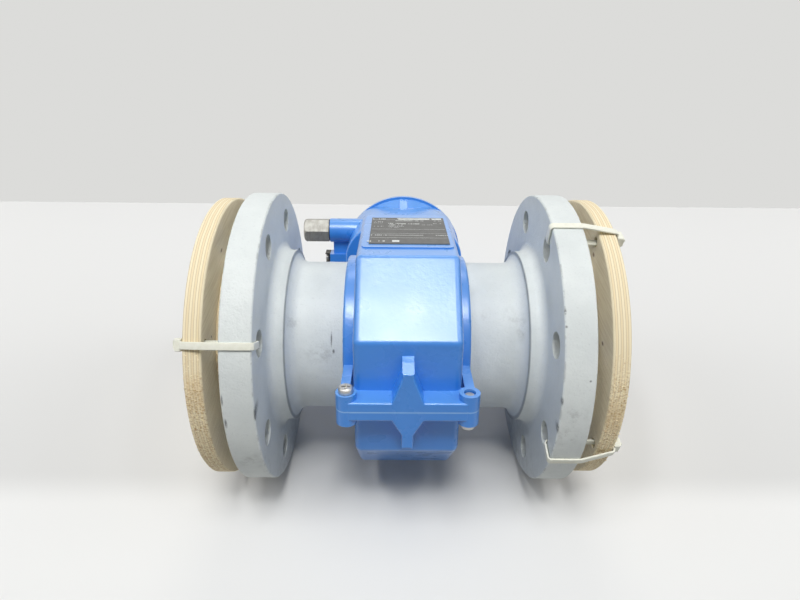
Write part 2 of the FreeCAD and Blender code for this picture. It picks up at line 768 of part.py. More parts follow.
def neck_gasket():
    """A flat gasket between the neck flange and the housing floor."""
    disc = cylinder("gasket_disc", "neck_flange", "gasket_height", ("0", "0", NECK_TOP))
    bore = cylinder("gasket_bore", "neck_bore", "2 * housing_base")
    holes = [cylinder(f"gasket_hole_{number}", "neck_screw", "2 * neck_flange_height",
                      (x, y, f"{NECK_TOP} - cut_past"))
             for number, (x, y) in enumerate(housing_screw_places(), start=1)]
    piece("neck_gasket", cut("neck_gasket", disc, bore, *holes))


def lead_bundle():
    """The sleeved coil and electrode leads that go up through the neck to the terminal board."""
    bottom = f"({YOKE_TOP} + 2 * yoke_gap)"
    top = "(housing_base + housing_floor + standoff_height)"
    sleeve = cylinder("lead_sleeve", "lead_bundle", f"{top} - {bottom}", ("0", "0", bottom))
    piece("lead_bundle", group("lead_bundle", [sleeve]))


# ---------------------------------------------------------------- connection housing
BODY_TOP = "(housing_base + housing_body)"
RIM_TOP = f"({BODY_TOP} + rim_height)"
COVER_TOP = f"({RIM_TOP} + cover_gap + cover_height)"
ENTRY_HEIGHT = "(housing_base + entry_height)"
ENTRY_OFFSET = "(housing_depth / 2 - entry_inset)"
ENTRY_END = "(housing_width / 2 + entry_reach)"
EARTH_END = "(housing_width / 2 + earth_reach)"
ADAPTER_TURN = value("adapter_turn")


def rounded_block(name, width, depth, height, bottom, corner):
    """An upright block with round corners."""
    block = box(f"{name}_block", (width, depth, height), ("0", "0", f"{bottom} + ({height}) / 2"))
    return soften(name, block, value(corner), lambda edge: along(edge, Vector(0, 0, 1)))


def connection_housing():
    """One casting: rounded body that flares out to a round rim, two stays, threaded spigot, cable entries and
    earth block."""
    body = rounded_block("housing_outer", "housing_width", "housing_depth", "housing_body", "housing_base",
                         "housing_corner")
    base = value("housing_base")
    body = soften("housing_outer_soft", body, value("housing_foot_edge"),
                  lambda edge: abs(edge.BoundBox.ZMax - base) < NEAR)
    rim = cylinder("housing_rim", "rim_diameter", "rim_height", ("0", "0", BODY_TOP))
    flare = cone("housing_flare", "flare_foot_diameter", "flare_top_diameter", "flare_foot",
                 ("0", "0", f"{BODY_TOP} - flare_foot"))
    stay = padded("housing_stay", "YZ_Plane", "stay_width", [
        ("-housing_depth / 2", f"{BODY_TOP} - stay_foot"),
        ("housing_depth / 2", f"{BODY_TOP} - stay_foot"),
        ("flare_top_diameter / 2", BODY_TOP),
        ("-flare_top_diameter / 2", BODY_TOP),
    ])
    spigot = cylinder("housing_spigot", "spigot_diameter", "spigot_height + rim_height", ("0", "0", BODY_TOP))
    entries = [cylinder(f"entry_{name}", "entry_diameter", "entry_reach + housing_corner",
                        (f"-{ENTRY_END}", f"{side} * {ENTRY_OFFSET}", ENTRY_HEIGHT), "x")
               for side, name in ((-1, "front"), (1, "rear"))]
    earth_depth = "(earth_reach + housing_wall / 2)"
    earth = box("earth_block_front", (earth_depth, "earth_width", "earth_block"),
                (f"-{EARTH_END} + {earth_depth} / 2", "-earth_offset", ENTRY_HEIGHT))
    web_depth = "(earth_web_reach + housing_wall / 2)"
    web = box("earth_web_front", (web_depth, f"{ENTRY_OFFSET} - earth_offset", "earth_web"),
              (f"-(housing_width - housing_wall) / 2 - {web_depth} / 2",
               f"-({ENTRY_OFFSET} + earth_offset) / 2", ENTRY_HEIGHT))
    solid = fuse("housing_solid", body, rim, flare, stay, spigot, *entries, earth, web)
    cavity = rounded_block("housing_cavity", "housing_width - 2 * housing_wall", "housing_depth - 2 * housing_wall",
                           "housing_body - housing_floor", "(housing_base + housing_floor)",
                           "housing_corner - housing_wall")
    mouth = cylinder("housing_mouth", "mouth_diameter - 2 * housing_wall", "housing_body",
                     ("0", "0", f"{BODY_TOP} - cut_past"))
    threads = [cylinder(f"entry_thread_{name}", "entry_thread", ENTRY_END,
                        (f"-{ENTRY_END} - cut_past", f"{side} * {ENTRY_OFFSET}", ENTRY_HEIGHT), "x")
               for side, name in ((-1, "front"), (1, "rear"))]
    earth_hole = cylinder("earth_hole", "earth_screw", "earth_screw_length",
                          (f"-{EARTH_END} - cut_past", "-earth_offset", ENTRY_HEIGHT), "x")
    passage = cylinder("housing_passage", "neck_bore", "2 * housing_floor", ("0", "0", "housing_base - cut_past"))
    holes = [cylinder(f"housing_hole_{number}", "neck_screw", "3 * housing_floor", (x, y, "housing_base - cut_past"))
             for number, (x, y) in enumerate(housing_screw_places(), start=1)]
    piece("connection_housing", cut("connection_housing", solid, cavity, mouth, *threads, earth_hole, passage, *holes))
    floor = "(housing_base + housing_floor)"
    screw_group("housing_screws", [(x, y, floor) for x, y in housing_screw_places()], "neck_screw",
                "neck_screw_length", "neck_screw_head", "neck_screw_head_height")


def cover():
    """A screwed cap with a tapered skirt, a seal groove in its rim and two tool grips on top."""
    bottom = f"({RIM_TOP} + cover_gap)"
    inside = "(spigot_diameter / 2 + cover_gap)"
    thread_end = f"({bottom} + spigot_height + cover_thread_end)"
    ceiling = f"({COVER_TOP} - cover_wall)"
    groove_in = "(seal_ring / 2 - seal_section / 2 - seal_gap)"
    groove_out = "(seal_ring / 2 + seal_section / 2 + seal_gap / 2)"
    groove_top = f"({bottom} + seal_section + seal_gap)"
    cap = turned("cover_cap", "XZ_Plane", "V_Axis", [
        ("0", COVER_TOP),
        ("cover_top_diameter / 2", COVER_TOP),
        ("cover_shoulder_diameter / 2", ceiling),
        ("cover_diameter / 2", bottom),
        (groove_out, bottom),
        (groove_out, groove_top),
        (groove_in, groove_top),
        (groove_in, bottom),
        (inside, bottom),
        (inside, thread_end),
        ("cover_shoulder_diameter / 2 - cover_wall", thread_end),
        ("cover_shoulder_diameter / 2 - cover_wall", ceiling),
        ("0", ceiling),
    ])
    grips = [box(f"cover_grip_{name}", ("cover_grip", "cover_grip_width", "cover_wall + cover_grip_height"),
                 ("0", f"{side} * cover_grip_place", f"{COVER_TOP} + (cover_grip_height - cover_wall) / 2"))
             for side, name in ((-1, "front"), (1, "rear"))]
    piece("cover", fuse("cover", cap, *grips))
    ring = doc.addObject("Part::Torus", "seal_torus")
    bind(ring, Radius1="seal_ring / 2", Radius2="seal_section / 2")
    put(ring, ("0", "0", f"{RIM_TOP} + seal_section / 2 + cover_gap"))
    piece("cover_seal", group("cover_seal", [ring]))


def cable_entries():
    """A hexagon reducer in the front entry and a slotted plug in the rear one, each on a flat seal."""
    seat = f"({ENTRY_END} + washer_thickness)"
    for side, name in ((-1, "front"), (1, "rear")):
        middle = f"{side} * {ENTRY_OFFSET}"
        ring = cylinder(f"entry_ring_{name}", "washer_diameter", "washer_thickness",
                        (f"-{seat}", middle, ENTRY_HEIGHT), "x")
        hole = cylinder(f"entry_ring_hole_{name}", "entry_thread", "3 * washer_thickness",
                        (f"-{seat} - washer_thickness", middle, ENTRY_HEIGHT), "x")
        piece(f"entry_seal_{name}", cut(f"entry_seal_{name}", ring, hole))
    front = f"-{ENTRY_OFFSET}"
    hexagon = doc.addObject("Part::Prism", "adapter_hexagon")
    hexagon.Polygon = 6
    bind(hexagon, Circumradius="adapter_across / sqrt(3)", Height="adapter_length")
    put(hexagon, (f"-{seat}", front, ENTRY_HEIGHT), TURNS["-x"].multiply(Rotation(Vector(0, 0, 1), ADAPTER_TURN)))
    end = "(adapter_across - adapter_edge)"
    crown = cone("adapter_crown", f"{end} + 2 * adapter_length * tan(adapter_chamfer)", end, "adapter_length",
                 (f"-{seat}", front, ENTRY_HEIGHT), "-x")
    stem = cylinder("adapter_stem", "entry_thread", "adapter_thread_length + washer_thickness",
                    (f"-{seat}", front, ENTRY_HEIGHT), "x")
    bore = cylinder("adapter_bore_hole", "adapter_bore", "4 * adapter_length",
                    (f"-{seat} - 2 * adapter_length", front, ENTRY_HEIGHT), "x")
    blank = fuse("adapter_blank", common("adapter_chamfered", hexagon, crown), stem)
    piece("cable_entry_adapter", cut("cable_entry_adapter", blank, bore))
    rear = ENTRY_OFFSET
    head = cylinder("plug_head_disc", "plug_diameter", "plug_head", (f"-{seat}", rear, ENTRY_HEIGHT), "-x")
    stem = cylinder("plug_stem", "entry_thread", "adapter_thread_length + washer_thickness",
                    (f"-{seat}", rear, ENTRY_HEIGHT), "x")
    slot = box("plug_slot_cut", ("plug_head", "2 * plug_diameter", "plug_slot"),
               (f"-{seat} - plug_head", rear, ENTRY_HEIGHT))
    piece("entry_plug", cut("entry_plug", fuse("plug_blank", head, stem), slot))


def earth_terminal():
    """A stirrup clamp held on the earth block by a cross-recess screw."""
    face = (f"-{EARTH_END}", "-earth_offset", ENTRY_HEIGHT)
    plate = box("clamp_plate", ("clamp_thickness", "clamp_width", "clamp_width"),
                (f"-{EARTH_END} - clamp_thickness / 2", "-earth_offset", ENTRY_HEIGHT))
    lips = [box(f"clamp_lip_{name}", ("clamp_lip", "clamp_thickness / 2", "clamp_width"),
                (f"-{EARTH_END} - clamp_lip / 2 - clamp_thickness / 2",
                 f"-earth_offset + {side} * (clamp_width / 2 - clamp_thickness / 4)", ENTRY_HEIGHT))
            for side, name in ((-1, "front"), (1, "rear"))]
    hole = rod("clamp_hole", "earth_screw", "4 * clamp_lip", face, "x")
    piece("earth_clamp", cut("earth_clamp", fuse("clamp_blank", plate, *lips), hole))
    piece("earth_screw", cross_screw("earth_screw", "earth_screw", "earth_screw_length", "earth_head",
                                     "earth_head_height", (f"-{EARTH_END} - clamp_thickness", *face[1:]), "-x"))


def terminals():
    """A board on four stand-offs with a row of screw terminals."""
    floor = "(housing_base + housing_floor)"
    under = f"({floor} + standoff_height)"
    corners = [(f"{x} * board_hole_x / 2", f"{y} * board_hole_y / 2") for x in (-1, 1) for y in (-1, 1)]
    piece("board_standoffs", group("board_standoffs", [
        cylinder(f"standoff_{number}", "standoff_diameter", "standoff_height", (x, y, floor))
        for number, (x, y) in enumerate(corners, start=1)]))
    board = box("board_sheet", ("board_width", "board_depth", "board_thickness"),
                ("0", "0", f"{under} + board_thickness / 2"))
    piece("terminal_board", group("terminal_board", [board]))
    seat = f"({under} + board_thickness)"
    block = box("terminal_strip", ("terminal_width", "terminal_depth", "terminal_height"),
                ("0", "0", f"{seat} + terminal_height / 2"))
    piece("terminal_block", group("terminal_block", [block]))
    count = int(SIZES["terminal_count"])
    places = [(f"({number} - ({count} - 1) / 2) * terminal_pitch", "0", f"{seat} + terminal_height")
              for number in range(count)]
    piece("terminal_screws", group("terminal_screws", [
        cylinder(f"terminal_screw_{number}", "terminal_screw", "terminal_screw_height", at)
        for number, at in enumerate(places, start=1)]))


# ---------------------------------------------------------------- plate, discs and ties
def nameplate():
    """A thin metal plate on the pad of the front shell."""
    plate = box("plate_sheet", ("plate_width", "plate_thickness", "plate_length"),
                ("plate_offset", "-shell_depth / 2 - pad_rise - plate_thickness / 2", "pad_centre"))
    piece("nameplate", group("nameplate", [plate]))


def tie_place(side, angle, radius):
    """A point on the inner face of a disc, at an angle from the side opposite the neck."""
    turn = f"({angle})"
    return (f"{side} * face_to_face / 2", f"-({radius}) * sin({turn})", f"-({radius}) * cos({turn})")


def plywood_disc(label, side):
    """A round plywood board with a smaller facing on the flared liner, and a hole for each tie."""
    shift = DISC_SHIFTS[side]
    start = f"{side} * (face_to_face / 2 + disc_facing + disc_thickness / 2)"
    board = rod(f"{label}_board", "disc_diameter", "disc_thickness", (start, "0", shift))
    radius = value("disc_diameter / 2")
    board = chamfer(f"{label}_edge", board, value("disc_edge"), lambda edge: ring_of(edge, radius))
    facing = rod(f"{label}_facing", "disc_facing_diameter", "disc_facing",
                 (f"{side} * (face_to_face + disc_facing) / 2", "0", shift))
    disc = fuse(f"{label}_blank", board, facing)
    holes = [rod(f"{label}_hole_{number}", "tie_hole", "4 * disc_thickness", tie_place(side, angle, "tie_hole_radius"))
             for number, (end, angle) in enumerate(TIES.values()) if end == side]
    piece(label, cut(label, disc, *holes))


def cable_tie(label, side, angle):
    """A strap through a bolt hole and a disc hole and over the flange rim and the disc rim, with its head outside."""
    start = f"({RIM} - flange_thickness - tie_slack)"
    end = "(face_to_face / 2 + disc_facing + disc_thickness + tie_slack)"
    low = "(tie_hole_radius - tie_thickness / 2)"
    on_flange = "(flange_diameter / 2 + liner_gap + tie_thickness / 2)"
    on_disc = f"(disc_diameter / 2 - {DISC_SHIFTS[side]} * cos({angle}) + liner_gap + tie_thickness / 2)"
    loops = []
    for name, grow in (("out", "tie_thickness / 2"), ("in", "-tie_thickness / 2")):
        loop = padded(f"{label}_{name}", "XZ_Plane", "tie_width", [
            (f"{start} - {grow}", f"{low} - {grow}"),
            (f"{end} + {grow}", f"{low} - {grow}"),
            (f"{end} + {grow}", f"{on_disc} + {grow}"),
            (RIM, f"{on_flange} + {grow}"),
            (f"{start} - {grow}", f"{on_flange} + {grow}"),
        ])
        loops.append(soften(f"{label}_{name}_soft", loop, value(f"tie_bend + {grow}"),
                            lambda edge: along(edge, Vector(0, 1, 0))
                            and abs(edge.CenterOfMass.x - value(RIM)) > NEAR))
    head = box(f"{label}_lock", ("tie_head_height", "tie_head_width", "tie_head_length"),
               (f"{end} + tie_head_height / 2", "0", f"{on_disc} - tie_bend - tie_head_length / 2"))
    tie = fuse(label, cut(f"{label}_strap", *loops), head)
    flip = Rotation() if side > 0 else Rotation(Vector(0, 0, 1), 180)
    tie.Placement = Placement(Vector(), Rotation(Vector(1, 0, 0), 180 - angle).multiply(flip))
    piece(label, tie)


# ---------------------------------------------------------------- assembly
def lie_down():
    """Turn every piece about the pipe, from neck up, until the widest edge of the housing or the cover comes down
    to the plane that both flange rims stand on."""
    floor = value("flange_diameter / 2")
    edges = [
        (RIM_TOP, "rim_diameter"),
        (f"{RIM_TOP} + cover_gap", "cover_diameter"),
        (f"{COVER_TOP} - cover_wall", "cover_shoulder_diameter"),
        (COVER_TOP, "cover_top_diameter"),
    ]
    dips = []
    for place, diameter in edges:
        height = value(place)
        radius = value(f"{diameter} / 2")
        dips.append(math.asin(floor / math.hypot(height, radius)) - math.atan2(radius, height))
    dip = math.degrees(min(dips))
    lying = Placement(Vector(), Rotation(Vector(1, 0, 0), -(90 + dip)))
    for thing in PIECES:
        thing.Placement = lying.multiply(thing.Placement)
    return dip


def export():
    """Write each piece to its own file, once everything is sound."""
    doc.recompute()
    failed = [thing.Name for thing in doc.Objects if "Invalid" in thing.State or "Error" in thing.State]
    unsound = [thing.Label for thing in PIECES if thing.Shape.isNull() or not thing.Shape.isValid()]
    if failed or unsound:
        raise SystemExit(f"failed: {failed}, unsound: {unsound}")
    os.makedirs("parts", exist_ok=True)
    for thing in PIECES:
        thing.Shape.exportStep(f"parts/{thing.Label}.step")


flange("flange_left", -1)
flange("flange_right", 1)
measuring_tube()
liner()
half_shells()
lug_screws()
magnet("upper", 1)
magnet("lower", -1)
return_yoke()
electrode("front", -1)
electrode("rear", 1)
neck()
neck_gasket()
lead_bundle()
connection_housing()
cover()
cable_entries()
earth_terminal()
terminals()
nameplate()
plywood_disc("plywood_disc_left", -1)
plywood_disc("plywood_disc_right", 1)
for tie_label, (tie_side, tie_angle) in TIES.items():
    cable_tie(tie_label, tie_side, tie_angle)
doc.recompute()
print("dip", round(lie_down(), 3), "pieces", len(PIECES))
export()
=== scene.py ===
# %% [markdown]
# # An electromagnetic flow meter, dressed
# The meter is a flanged steel pipe in a blue cast shell. It lies on its side, tied up for transport.
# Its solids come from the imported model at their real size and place, so this lesson is about finishes and
# about the small pieces that a builder of solids leaves out: print, fibres, strap teeth.
# The frame is loaded first, because every later position is read from it.

# %% The fixed frame
import json
import math

import bmesh
import bpy
from mathutils import Matrix, Vector


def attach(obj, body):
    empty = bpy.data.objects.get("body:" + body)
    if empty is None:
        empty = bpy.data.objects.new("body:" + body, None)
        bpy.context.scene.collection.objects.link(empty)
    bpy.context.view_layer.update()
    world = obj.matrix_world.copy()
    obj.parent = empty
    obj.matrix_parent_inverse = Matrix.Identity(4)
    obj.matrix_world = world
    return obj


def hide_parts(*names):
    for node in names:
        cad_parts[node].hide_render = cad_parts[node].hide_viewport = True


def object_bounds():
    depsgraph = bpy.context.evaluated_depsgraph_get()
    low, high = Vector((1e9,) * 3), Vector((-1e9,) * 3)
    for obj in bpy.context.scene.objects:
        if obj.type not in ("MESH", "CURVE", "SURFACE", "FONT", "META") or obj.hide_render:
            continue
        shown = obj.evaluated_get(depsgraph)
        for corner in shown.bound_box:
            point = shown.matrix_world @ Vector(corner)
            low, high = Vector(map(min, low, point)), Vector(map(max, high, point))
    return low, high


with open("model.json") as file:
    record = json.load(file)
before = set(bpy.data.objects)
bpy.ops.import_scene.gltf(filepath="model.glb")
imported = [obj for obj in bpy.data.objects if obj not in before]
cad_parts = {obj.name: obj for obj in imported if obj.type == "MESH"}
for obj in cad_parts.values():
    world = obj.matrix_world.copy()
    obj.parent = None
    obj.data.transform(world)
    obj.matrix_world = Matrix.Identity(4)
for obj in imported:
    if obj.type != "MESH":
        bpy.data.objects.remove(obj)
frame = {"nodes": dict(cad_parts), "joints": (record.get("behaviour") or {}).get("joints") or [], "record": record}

nodes = frame["nodes"]
SOLIDS_BOX = [list(corner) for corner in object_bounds()]
print("solids:", len(nodes), "box:", SOLIDS_BOX)

# %% [markdown]
# ## Which way the meter points
# The pipe runs along X. The neck is the way the cover screws off, so the axis of that joint gives it.
# The third direction is square to both, and it looks out of the nameplate. With these three, a place can be
# written along the pipe, along the neck and out of the plate, whatever the angle the meter lies at.

# %% Three directions
MM = 0.001
joint = {entry["name"]: entry for entry in frame["joints"]}
PIPE = Vector((1, 0, 0))
NECK = Vector(joint["cover_turn"]["axis"]).normalized()
PLATE = PIPE.cross(NECK)
FRAME_TURN = Matrix((PIPE, PLATE, NECK)).transposed().to_4x4()


def spot(along_pipe, out_of_plate, along_neck):
    """A point given in millimetres along the three directions."""
    return FRAME_TURN @ Vector((along_pipe, out_of_plate, along_neck)) * MM


print("neck", NECK, "plate", PLATE)

# %% [markdown]
# ## The camera
# The view is from the lug's side, above the meter, with a short lens: the flange rims lean outwards and the
# housing behind looks small. A camera looks down its own -Z, so it gets a place and three angles: the first tips it
# up from looking straight down, and the other two are the small lean and turn of a hand-held view.

# %% Camera
CAMERA_PLACE = Vector((-0.0088, -0.3500, 0.2979))
CAMERA_TILT = (math.radians(52.976), math.radians(-0.646), math.radians(-0.188))
CAMERA_LENS = 25.82
SENSOR_WIDTH = 36
NEAREST_SEEN = 0.01

camera_data = bpy.data.cameras.new("camera")
camera_data.lens = CAMERA_LENS
camera_data.sensor_width = SENSOR_WIDTH
camera_data.clip_start = NEAREST_SEEN
camera = bpy.data.objects.new("camera", camera_data)
camera.location = CAMERA_PLACE
camera.rotation_euler = CAMERA_TILT
bpy.context.scene.collection.objects.link(camera)
bpy.context.scene.camera = camera
print("camera", CAMERA_PLACE, "lens", CAMERA_LENS)

# %% [markdown]
# ## Materials by script
# Every finish starts from the same few helpers. One makes an empty material, and one adds a node with its settings
# and its sockets in one line, so that a recipe reads from top to bottom like a list of layers. The others each
# stand for a thing that recipes do again and again: find the point, make a noise, set a range, mix two colours.

# %% Node helpers
def empty_material(name):
    """A material with only an output node, and its tree."""
    material = bpy.data.materials.new(name)
    material.use_nodes = True
    tree = material.node_tree
    tree.nodes.clear()
    tree.nodes.new("ShaderNodeOutputMaterial").name = "out"
    return material, tree


def add(tree, kind, settings=None, **sockets):
    """A node of a kind, with its settings, and each named socket either linked or given a value."""
    node = tree.nodes.new(kind)
    for key, setting in (settings or {}).items():
        setattr(node, key, setting)
    for key, given in sockets.items():
        socket = node.inputs[key.replace("_", " ")]
        if isinstance(given, bpy.types.NodeSocket):
            tree.links.new(given, socket)
        else:
            socket.default_value = given
    return node


def surface(tree, **sockets):
    """The one shader of a finish, led to the output."""
    shader = add(tree, "ShaderNodeBsdfPrincipled", **sockets)
    tree.links.new(shader.outputs["BSDF"], tree.nodes["out"].inputs["Surface"])
    return shader


# %% Helpers for points, ranges and colours
def place_on(tree):
    """The point on the piece in metres."""
    return add(tree, "ShaderNodeTexCoord").outputs["Object"]


def mottle(tree, point, size, detail=3.0, roughness=0.55):
    """Even noise with features of a size in metres."""
    return add(tree, "ShaderNodeTexNoise", Vector=point, Scale=1 / size, Detail=detail,
               Roughness=roughness).outputs["Fac"]


def spread(tree, fac, low, high, to_low=0.0, to_high=1.0):
    """A value taken from one range to another, kept inside it."""
    node = add(tree, "ShaderNodeMapRange", {"interpolation_type": "SMOOTHSTEP"}, Value=fac)
    node.inputs["From Min"].default_value = low
    node.inputs["From Max"].default_value = high
    node.inputs["To Min"].default_value = to_low
    node.inputs["To Max"].default_value = to_high
    return node.outputs["Result"]


def calc(tree, operation, first, second=0.0):
    """Two numbers or sockets put together."""
    node = add(tree, "ShaderNodeMath", {"operation": operation})
    for socket, given in zip(node.inputs, (first, second)):
        if isinstance(given, bpy.types.NodeSocket):
            tree.links.new(given, socket)
        else:
            socket.default_value = given
    return node.outputs[0]


def tint(tree, fac, under, over):
    """One colour over another, by a factor."""
    node = add(tree, "ShaderNodeMix", {"data_type": "RGBA"})
    for index, given in ((0, fac), (6, under), (7, over)):
        if isinstance(given, bpy.types.NodeSocket):
            tree.links.new(given, node.inputs[index])
        else:
            node.inputs[index].default_value = given
    return node.outputs[2]


print("helpers for finishes defined")

# %% [markdown]
# ## Table, air and lamps
# A pale table ends some way behind the meter, and a pale room lies beyond it. Five level panels overhead give most
# of the light. The glossy blue facet mirrors the two in the middle, and the outer ones make the stepped shadows
# under the lug. Five more lamps, aimed at the meter from the sides and from behind, are weaker and fill in. Only
# the camera and mirror rays see the table and the room at full brightness. That keeps the light that they throw
# back small, so the underside of the pipe stays dark. Towards the front, the camera sees the table in a darker
# colour, and there it also glows a little to the camera: painted light that makes the shadows in front paler.

# %% Table
TABLE_BACK = 0.43
TABLE_SIDE = 3.0
TABLE_FRONT = 3.0
# Painted light: the table is seen darker towards the front and glows there, so the shadows in front come out paler.
TABLE_SEEN_FRONT = (0.54, 0.545, 0.54, 1)
TABLE_SEEN_BACK = (0.80, 0.80, 0.79, 1)
TABLE_SHED = (0.42, 0.42, 0.41, 1)
TABLE_FADE = (-0.45, TABLE_BACK)
GLOW_ZONE = (-0.050, -0.085)
TABLE_GLOW = (0.035, 0.26)
TABLE_ROUGHNESS = 0.6
table_height = SOLIDS_BOX[0][2]

table_finish, tree = empty_material("table_white")
rays = add(tree, "ShaderNodeLightPath")
depth = add(tree, "ShaderNodeSeparateXYZ", Vector=place_on(tree)).outputs["Y"]
seen = tint(tree, spread(tree, depth, *TABLE_FADE), TABLE_SEEN_FRONT, TABLE_SEEN_BACK)
sight = calc(tree, "MAXIMUM", rays.outputs["Is Camera Ray"], rays.outputs["Is Glossy Ray"])
# Painted light: a glow that only the camera sees, in front of the meter.
glow = spread(tree, depth, *GLOW_ZONE, *TABLE_GLOW)
surface(tree, Base_Color=tint(tree, sight, TABLE_SHED, seen), Roughness=TABLE_ROUGHNESS, Emission_Color=seen,
        Emission_Strength=calc(tree, "MULTIPLY", rays.outputs["Is Camera Ray"], glow))
table_mesh = bpy.data.meshes.new("table")
table_mesh.from_pydata([(-TABLE_SIDE, -TABLE_FRONT, table_height), (TABLE_SIDE, -TABLE_FRONT, table_height),
                        (TABLE_SIDE, TABLE_BACK, table_height), (-TABLE_SIDE, TABLE_BACK, table_height)],
                       [], [(0, 1, 2, 3)])
table = bpy.data.objects.new("table", table_mesh)
table_mesh.materials.append(table_finish)
bpy.context.scene.collection.objects.link(table)
print("table at", round(table_height, 4))

# %% Room
ROOM_SEEN = (0.715, 0.715, 0.70, 1)
ROOM_SHED = (0.84, 0.84, 0.835, 1)
SHED_STRENGTH = 0.14

world = bpy.data.worlds.new("room")
bpy.context.scene.world = world
world.use_nodes = True
tree = world.node_tree
tree.nodes.clear()
out = add(tree, "ShaderNodeOutputWorld")
rays = add(tree, "ShaderNodeLightPath")
sight = calc(tree, "MAXIMUM", rays.outputs["Is Camera Ray"], rays.outputs["Is Glossy Ray"])
sight = calc(tree, "MAXIMUM", sight, rays.outputs["Is Transmission Ray"])
shed = add(tree, "ShaderNodeBackground", Color=ROOM_SHED, Strength=SHED_STRENGTH)
seen = add(tree, "ShaderNodeBackground", Color=ROOM_SEEN, Strength=1.0)
either = add(tree, "ShaderNodeMixShader", Fac=sight)
tree.links.new(shed.outputs[0], either.inputs[1])
tree.links.new(seen.outputs[0], either.inputs[2])
tree.links.new(either.outputs[0], out.inputs["Surface"])
print("room light", SHED_STRENGTH)

# %% Lamps
BEAM_AXIS, BEAM_UP = "-Z", "Y"
AIM = Vector((0, -0.04, -0.06))
# Each lamp: its place and its two sides in metres, its watts, and whether it hangs level or is aimed at the meter.
LAMPS = {"panel_middle": ((0.03, -0.49, 2.0), (0.50, 0.58), 14.0, True),
         "panel_front": ((0.02, -0.84, 1.99), (0.32, 0.22), 10.5, True),
         "panel_left": ((-0.70, -0.48, 2.0), (0.22, 0.52), 9.0, True),
         "panel_right": ((0.89, -0.50, 2.0), (0.20, 0.42), 3.4, True),
         "panel_back": ((0.05, 1.75, 2.0), (0.50, 0.40), 8.0, True),
         "ceiling_left": ((-1.8, -0.1, 1.7), (0.8, 1.2), 7.0, False),
         "ceiling_right": ((1.8, -0.1, 1.7), (0.8, 1.2), 9.0, False),
         "wall_left": ((-1.9, 0.45, 0.45), (1.4, 0.7), 8.0, False),
         "wall_right": ((1.9, 0.45, 0.45), (1.4, 0.7), 7.5, False),
         "wall_back": ((0.0, 2.3, 0.4), (3.0, 0.9), 2.8, False)}
for name, (place, size, watts, level) in LAMPS.items():
    lamp_data = bpy.data.lights.new(name, "AREA")
    lamp_data.shape = "RECTANGLE"
    lamp_data.size, lamp_data.size_y = size
    lamp_data.energy = watts
    lamp = bpy.data.objects.new(name, lamp_data)
    lamp.location = place
    if not level:
        lamp.rotation_euler = (AIM - Vector(place)).to_track_quat(BEAM_AXIS, BEAM_UP).to_euler()
    bpy.context.scene.collection.objects.link(lamp)
bpy.context.scene.view_settings.view_transform = "Standard"
print("lamps:", len(LAMPS))

# %% [markdown]
# ## Paint on the pipe and flanges
# The flanges are forged and machined, then sprayed pale grey. The paint lies on rough steel, so it has a fine
# peel and some coarser waves, and handling has left grey smears and chipped rims. A bump from two noises
# gives the peel; the smears are soft ellipses broken up by a noise, each at its own place on the meter.

# %% Helpers for bumps and places on the meter
def raised(tree, height, distance, under=None):
    """A bump of a height in metres, on top of another one if there is one."""
    node = add(tree, "ShaderNodeBump", Height=height, Distance=distance)
    if under:
        tree.links.new(under, node.inputs["Normal"])
    return node.outputs["Normal"]


def from_axis(tree, point):
    """How far a point is from the pipe's axis."""
    flat = add(tree, "ShaderNodeVectorMath", {"operation": "MULTIPLY"})
    tree.links.new(point, flat.inputs[0])
    flat.inputs[1].default_value = (0, 1, 1)
    length = add(tree, "ShaderNodeVectorMath", {"operation": "LENGTH"})
    tree.links.new(flat.outputs["Vector"], length.inputs[0])
    return length.outputs["Value"]


def along_pipe(tree, point):
    """How far a point is from the middle of the pipe, on either side."""
    return calc(tree, "ABSOLUTE", add(tree, "ShaderNodeSeparateXYZ", Vector=point).outputs["X"])


def gap_to(tree, value, place):
    """How far a value is from a place, on either side."""
    return calc(tree, "ABSOLUTE", calc(tree, "SUBTRACT", value, place))


def smear(tree, point, middle, reach):
    """1 inside an ellipsoid at a place, fading to 0 at its edge."""
    moved = add(tree, "ShaderNodeVectorMath", {"operation": "SUBTRACT"})
    tree.links.new(point, moved.inputs[0])
    moved.inputs[1].default_value = middle
    scaled = add(tree, "ShaderNodeVectorMath", {"operation": "DIVIDE"})
    tree.links.new(moved.outputs["Vector"], scaled.inputs[0])
    scaled.inputs[1].default_value = [side * MM for side in reach]
    length = add(tree, "ShaderNodeVectorMath", {"operation": "LENGTH"})
    tree.links.new(scaled.outputs["Vector"], length.inputs[0])
    return spread(tree, length.outputs["Value"], 1.0, 0.2)


print("helpers for bumps and places defined")

# %% Colours and places of the paint
PAINT_GREY = (0.725, 0.765, 0.755, 1)
PAINT_SHADE = (0.655, 0.695, 0.69, 1)
PAINT_SPECK = (0.52, 0.55, 0.56, 1)
# The darker grey is the scuffs and the painted shade in the crease at the hub's end. The other is dirt and wear, the
# painted shade in the bolt holes, and the darkening towards the bottom.
SMEAR_AND_SHADE_GREY = (0.11, 0.115, 0.12, 1)
DIRT_AND_SHADE_GREY = (0.30, 0.31, 0.30, 1)
SPECK_STRENGTH = 0.3
SMUDGE_STRENGTH = 0.42
SCUFF_STRENGTH = 0.85
HUB_CREASE_SHADE_STRENGTH = 0.5
WEAR_STRENGTH = 0.45
BOLT_HOLE_SHADE = 0.75
LOWER_DARKENING_STRENGTH = 0.28
PAINT_ROUGHNESS = 0.5
# Places on the flanges in metres: along the pipe from its middle, and radii.
HUB_END = 0.0846
RIM_INNER = 0.0955
RIM_OUTER = 0.116
RIM_RADIUS = 0.110
BOLT_CIRCLE = 0.090
TUBE_RADIUS = 0.05715
LOWER_DARKENING_ZONE = (-0.02, -0.10)
